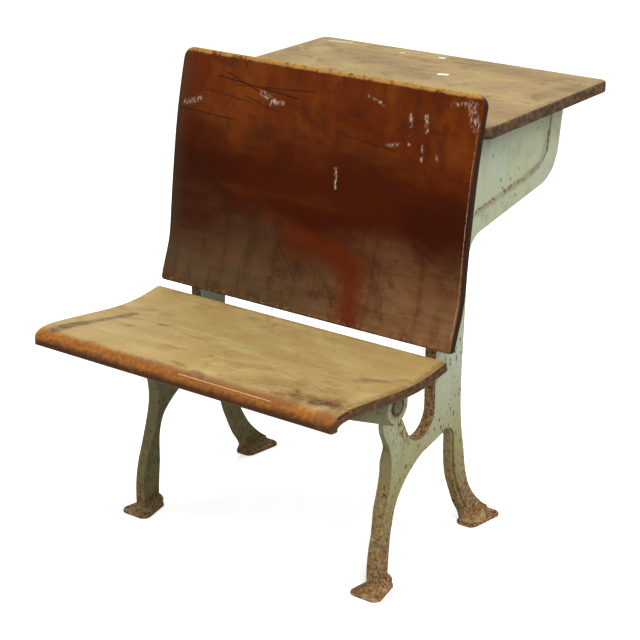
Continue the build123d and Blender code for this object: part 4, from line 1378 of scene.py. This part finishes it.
@dataclass
class Boards:
    """The four boards of the desk and the marks of use on them."""

    effects: SharedEffects

    def build(self) -> None:
        """Dresses every board."""
        finishes = {"seat_board": self.seat(), "back_board": self.back(), "desk_top": self.desk(),
                    "book_shelf": ShelfWood(self.effects)}
        for node, finish in finishes.items():
            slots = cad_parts[node].data.materials
            slots.clear()
            slots.append(finish.material())
            log.info("%s: %s", node, finish.name)

    def seat(self) -> SeatVarnish:
        """Seat finish with its stains and worn places.

        Returns:
            The finish.
        """
        stains = (
            (0.048, 0.09, 0.066, 0.26, 9.0, 8.0, 0.85), (0.066, 0.26, 0.089, 0.60, 5.0, 7.0, 0.75),
            (0.207, 0.55, 0.228, 0.565, 3.5, 5.0, 0.55), (0.155, 0.40, 0.165, 0.42, 3.0, 5.0, 0.45),
            (0.487, 0.315, 0.497, 0.318, 1.5, 3.0, 0.55), (0.455, 0.11, 0.49, 0.10, 3.0, 5.0, 0.60),
            (0.535, 0.075, 0.575, 0.062, 3.0, 6.0, 0.60), (0.59, 0.303, 0.597, 0.31, 1.5, 3.0, 0.40),
            (0.905, 0.12, 0.950, 0.15, 9.0, 11.0, 0.95), (0.82, 0.19, 0.86, 0.10, 4.0, 11.0, 0.70),
            (0.88, 0.59, 0.93, 0.63, 2.0, 6.0, 0.45),
        )
        films = (
            (0.36, 0.0, 0.36, 0.045, 3.0, 4.0, 0.60), (0.36, 0.055, 0.60, 0.05, 4.0, 10.0, 0.50),
            (0.60, 0.055, 0.86, 0.06, 6.0, 12.0, 0.70), (0.80, 0.10, 0.94, 0.19, 12.0, 20.0, 0.78),
            (0.72, 0.20, 0.90, 0.30, 10.0, 25.0, 0.45), (0.88, 0.56, 0.97, 0.70, 6.0, 14.0, 0.42),
            (0.45, 0.88, 0.85, 0.94, 6.0, 20.0, 0.14), (0.10, 0.05, 0.34, 0.045, 3.0, 10.0, 0.25),
            (0.62, 0.10, 0.78, 0.15, 7.0, 20.0, 0.45), (0.992, 0.05, 0.992, 0.98, 3.0, 9.0, 0.75),
            (0.965, 0.04, 0.992, 0.20, 8.0, 14.0, 0.70), (0.72, 0.14, 0.79, 0.22, 5.0, 12.0, 0.60),
            (0.08, 0.975, 0.95, 0.985, 1.0, 6.0, 0.40),
        )
        green = (
            (0.31, 0.36, 0.54, 0.56, 2.0, 8.0, 1.0), (0.37, 0.46, 0.42, 0.58, 2.0, 6.0, 0.8),
            (0.34, 0.42, 0.55, 0.62, 1.5, 6.0, 0.7),
        )
        # Painted highlight along the rolled front edge
        light = ((0.505, 0.034, 0.800, 0.034, 0.3, 0.6, 0.45),)
        marks = marks_on("seat_board", Face.LYING, stains=stains, films=films, green=green, light=light)
        return SeatVarnish(self.effects, **marks)

    def back(self) -> BackVarnish:
        """Back finish with its scuffs, scratches and darker plume.

        Returns:
            The finish.
        """
        scuffs = (
            (0.787, 0.885, 0.790, 0.845, 1.6, 3.0, 1.0), (0.835, 0.890, 0.842, 0.832, 1.8, 3.0, 1.0),
            (0.788, 0.800, 0.792, 0.775, 1.4, 2.8, 0.8), (0.836, 0.780, 0.837, 0.720, 1.2, 2.6, 0.8),
            (0.724, 0.755, 0.760, 0.765, 1.2, 3.0, 0.7), (0.882, 0.750, 0.884, 0.735, 1.2, 2.6, 0.7),
            (0.571, 0.625, 0.576, 0.548, 1.6, 2.4, 1.0), (0.295, 0.868, 0.345, 0.838, 2.2, 4.8, 1.0),
            (0.330, 0.830, 0.372, 0.842, 1.4, 4.0, 0.9), (0.028, 0.775, 0.085, 0.800, 1.4, 5.0, 0.8),
            (0.962, 0.955, 0.987, 0.880, 3.6, 7.0, 0.9), (0.905, 0.950, 0.975, 0.964, 1.2, 4.0, 0.9),
            (0.640, 0.930, 0.700, 0.905, 0.8, 2.6, 0.7),
        )
        scratches = (
            (0.140, 0.905, 0.420, 0.868, 0.7, 1.2, 0.95), (0.205, 0.880, 0.470, 0.905, 0.6, 1.1, 0.85),
            (0.165, 0.925, 0.330, 0.850, 0.7, 1.2, 0.85), (0.240, 0.842, 0.360, 0.800, 0.6, 1.1, 0.80),
            (0.002, 0.752, 0.212, 0.738, 0.6, 1.4, 0.80), (0.118, 0.840, 0.255, 0.822, 0.6, 1.2, 0.70),
            (0.600, 0.760, 0.760, 0.735, 0.6, 1.6, 0.55), (0.380, 0.300, 0.470, 0.130, 0.6, 1.6, 0.55),
            (0.560, 0.170, 0.610, 0.070, 0.6, 1.4, 0.50),
        )
        plumes = (
            (0.445, 0.310, 0.582, 0.290, 12.0, 32.0, 0.75), (0.582, 0.290, 0.652, 0.237, 15.0, 30.0, 0.90),
            (0.652, 0.237, 0.662, 0.040, 14.0, 26.0, 0.90), (0.300, 0.480, 0.720, 0.520, 20.0, 60.0, 0.35),
        )
        bright = (
            (0.9925, 0.060, 0.9925, 0.560, 0.3, 0.9, 0.60), (0.9925, 0.560, 0.9925, 0.900, 0.3, 0.8, 0.45),
            (0.050, 0.989, 0.930, 0.989, 1.0, 1.6, 0.15),
        )
        marks = marks_on("back_board", Face.STANDING, scuffs=scuffs, scratches=scratches, plumes=plumes,
                         bright=bright)
        return BackVarnish(self.effects, top=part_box("back_board")[1].z, **marks)

    def desk(self) -> DeskWood:
        """Desk finish with its stains and white spots.

        Returns:
            The finish.
        """
        stains = (
            (0.20, 0.78, 0.52, 0.62, 18.0, 45.0, 0.50), (0.55, 0.93, 0.86, 0.86, 14.0, 40.0, 0.55),
            (0.70, 0.30, 0.95, 0.22, 16.0, 40.0, 0.50), (0.93, 0.55, 0.97, 0.80, 10.0, 30.0, 0.50),
            (0.329, 0.863, 0.335, 0.868, 4.0, 6.0, 0.90), (0.06, 0.60, 0.10, 0.30, 14.0, 40.0, 0.40),
            (0.965, 0.005, 0.990, 0.035, 6.0, 14.0, 0.85), (0.988, 0.06, 0.992, 0.97, 1.5, 7.0, 0.60),
        )
        spots = (
            (0.574, 0.655, 0.590, 0.665, 4.2, 2.0, 0.95), (0.462, 0.925, 0.472, 0.929, 3.0, 2.0, 0.80),
            (0.055, 0.925, 0.125, 0.945, 2.0, 6.0, 0.32), (0.33, 0.905, 0.335, 0.92, 1.2, 2.0, 0.70),
        )
        return DeskWood(self.effects, **marks_on("desk_top", Face.LYING, stains=stains, spots=spots))


@dataclass
class Metalwork:
    """Base of the metal sub-assemblies, which are alike on both sides."""

    effects: SharedEffects
    carrier: Carrier = Carrier.FRAME
    slot: str = "painted_casting"
    edge_round: float = 0.0009

    def both_sides(self, **materials: Material) -> None:
        """Builds the parts of both sides.

        Args:
            **materials: Finish of each kind of part.
        """
        for side in Side:
            for part, material in materials.items():
                SoftenedMetal(f"{part}_{side.value}", self.carrier, self.slot, self.edge_round).build(material)


@dataclass
class Castings(Metalwork):
    """The two side castings, in worn paint."""

    def build(self) -> None:
        """Builds and dresses both castings."""
        marks = side_marks(
            (0.040, 0.534, 0.110, 0.543, 1.0, 4.5, 0.50), (0.135, 0.547, 0.195, 0.554, 1.4, 5.0, 0.58),
            (0.215, 0.557, 0.240, 0.562, 1.0, 4.0, 0.50), (0.262, 0.582, 0.269, 0.612, 1.2, 4.0, 0.52),
            (0.125, 0.566, 0.127, 0.568, 2.0, 4.0, 0.62), (0.085, 0.552, 0.086, 0.553, 1.6, 3.0, 0.60),
            (-0.148, 0.262, -0.132, 0.228, 8.0, 14.0, 0.55), (-0.172, 0.250, -0.180, 0.190, 5.0, 12.0, 0.30),
            (*PIVOT, *PIVOT, 13.0, 4.0, 0.46),
        )
        # Painted shade: a dark ring in the recess round the pivot bolt and dark lines in grooves and corners
        shade_marks = side_marks(
            (*PIVOT, *PIVOT, 14.2, 5.0, 0.80), (0.258, 0.590, 0.262, 0.600, 0.4, 1.2, 0.80),
            (0.172, 0.010, 0.120, 0.060, 4.0, 14.0, 0.30), (0.104, 0.155, 0.128, 0.055, 2.0, 6.0, 0.55),
        )
        # Rust-brown marks on the sides; the row at Z 0.662 is painted shadow just under the desk top
        smears_and_shade = side_marks(
            (0.030, 0.529, 0.195, 0.552, 2.2, 6.0, 0.62), (0.195, 0.552, 0.245, 0.567, 2.4, 7.0, 0.66),
            (0.245, 0.567, 0.270, 0.615, 2.2, 7.0, 0.58), (0.262, 0.600, 0.266, 0.640, 5.0, 16.0, 0.30),
            (0.010, 0.662, 0.280, 0.662, 3.0, 18.0, 0.34), (*PIVOT, *PIVOT, 20.0, 8.0, 0.60),
        )
        finish = SagePaint(self.effects, marks=marks, shade_marks=shade_marks, smears_and_shade=smears_and_shade)
        self.both_sides(standard=finish.material())


@dataclass
class SeatArms(Metalwork):
    """The two arms that carry the seat, painted darker as the shade of the seat that they always lie under."""

    carrier: Carrier = Carrier.SEAT
    edge_round: float = 0.0008

    def build(self) -> None:
        """Builds and dresses both arms."""
        # Painted shade: a dark ring round the hub at the pivot
        ring = side_marks((*PIVOT, *PIVOT, 10.5, 4.0, 0.62))
        self.both_sides(seat_arm=ArmPaint(self.effects, shade_marks=ring).material())


@dataclass
class Pivots(Metalwork):
    """Pivot bolts, washers and nuts on both sides."""

    slot: str = "bare_steel"
    edge_round: float = 0.0004

    def build(self) -> None:
        """Builds and dresses the hardware of both pivots."""
        head, steel = BoltPaint(self.effects).material(), RustySteel(self.effects).material()
        self.both_sides(pivot_bolt=head, pivot_washer=steel, pivot_nut=steel)


@dataclass
class Fasteners:
    """All the wood screws, those of the frame and those of the seat."""

    effects: SharedEffects
    groups: tuple[str, ...] = ("back_screws", "desk_screws", "shelf_screws")

    def build(self) -> None:
        """Builds and dresses the screws of both bodies."""
        steel = RustySteel(self.effects, name="rusty_screw_steel", cover=0.5).material()
        fixed = tuple(f"{group}_{side.value}" for group in self.groups for side in Side)
        folding = tuple(f"seat_screws_{side.value}" for side in Side)
        WoodScrews("frame_screws", fixed, Carrier.FRAME, seed=7).build(steel)
        WoodScrews("seat_fixing_screws", folding, Carrier.SEAT, seed=11).build(steel)


# Studio

def aimed(name: str, data: bpy.types.ID, place: Triple, direction: Vector) -> Piece:
    """Puts a lamp or camera into the scene.

    Args:
        name: Name of the object.
        data: Its lamp or camera.
        place: Where it stands.
        direction: Where it looks.

    Returns:
        The object.
    """
    thing = placed(name, data)
    thing.location = place
    thing.rotation_mode = "QUATERNION"
    thing.rotation_quaternion = direction.to_track_quat("-Z", "Y")
    return thing


@dataclass
class Lamp:
    """A large soft lamp that looks at the desk."""

    name: str
    place: Triple
    size: float
    power: float
    colour: Triple = WHITE

    def build(self, target: Vector) -> None:
        """Sets the lamp up.

        Args:
            target: Place that it looks at.
        """
        data = bpy.data.lights.new(self.name, "AREA")
        data.shape = "DISK"
        data.size = self.size
        data.energy = self.power
        data.color = self.colour
        aimed(self.name, data, self.place, target - Vector(self.place))


@dataclass
class Studio:
    """Pale floor, soft light and the camera of the photograph."""

    lens: float = 100.7
    sensor: float = 36.0
    view_reach: float = 60.0
    azimuth: float = 36.08
    elevation: float = 21.22
    camera_x: float = 1.55633
    camera_ahead: float = 2.53518
    camera_z: float = 1.35630
    floor_half: float = 14.0
    floor_lit: Triple = (0.42, 0.42, 0.42)
    floor_seen: Triple = (0.97, 0.97, 0.97)
    floor_lift: float = 0.37
    sky: float = 0.86
    lamps: tuple[Lamp, ...] = (
        Lamp("key_lamp", (1.9, -1.5, 2.5), 1.6, 62.0, (1.0, 0.985, 0.96)),
        Lamp("top_lamp", (-0.3, 0.9, 2.9), 2.2, 44.0),
        Lamp("fill_lamp", (-2.6, -1.7, 1.5), 2.0, 12.0, (0.96, 0.98, 1.0)),
    )

    def build(self) -> None:
        """Builds floor, lamps, sky and camera."""
        target = sum(cad_bounds, Vector()) / 2
        for lamp in self.lamps:
            lamp.build(target)
        self._floor()
        self._sky()
        self._camera()
        bpy.context.scene.view_settings.view_transform = "Standard"
        log.info("studio: %d lamps", len(self.lamps))

    def _floor(self) -> None:
        """Wide pale floor at the desk's feet, which throws less light up than the camera sees."""
        half = self.floor_half
        corners = [(-half, -half, 0.0), (half, -half, 0.0), (half, half, 0.0), (-half, half, 0.0)]
        mesh = bpy.data.meshes.new("studio_floor")
        mesh.from_pydata(corners, [], [(0, 1, 2, 3)])
        floor = placed("studio_floor", mesh)
        material = bpy.data.materials.new("pale_floor")
        material.use_nodes = True
        sheet = NodeSheet(material.node_tree)
        seen = sheet.seen()
        sheet.fed(sheet.tree.nodes["Principled BSDF"], Base_Color=sheet.mix(seen, self.floor_lit, self.floor_seen),
                  Roughness=0.9, Specular_IOR_Level=0.0, Emission_Color=WHITE,
                  Emission_Strength=sheet.times(seen, self.floor_lift))
        mesh.materials.append(material)

    def _sky(self) -> None:
        """Even white surroundings, which throw less light than the camera sees."""
        world = bpy.data.worlds.new("white_room")
        world.use_nodes = True
        sheet = NodeSheet(world.node_tree)
        strength = sheet.between(sheet.seen(), self.sky, 1.0)
        sheet.fed(sheet.tree.nodes["Background"], Color=WHITE, Strength=strength)
        bpy.context.scene.world = world

    def _camera(self) -> None:
        """Camera at the photograph's view."""
        turn, lift = math.radians(self.azimuth), math.radians(self.elevation)
        back = Vector((math.sin(turn) * math.cos(lift), -math.cos(turn) * math.cos(lift), math.sin(lift)))
        data = bpy.data.cameras.new("camera")
        data.lens = self.lens
        data.sensor_width = self.sensor
        data.clip_end = self.view_reach
        place = (self.camera_x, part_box("desk_top")[1].y - self.camera_ahead, self.camera_z)
        bpy.context.scene.camera = aimed("camera", data, place, -back)


def main() -> None:
    """Builds the whole desk and its studio."""
    logging.basicConfig(level=logging.INFO, format="%(name)s %(message)s")
    effects = SharedEffects()
    Castings(effects).build()
    SeatArms(effects).build()
    Boards(effects).build()
    Pivots(effects).build()
    Fasteners(effects).build()
    Studio().build()


if __name__ == "__main__":
    main()
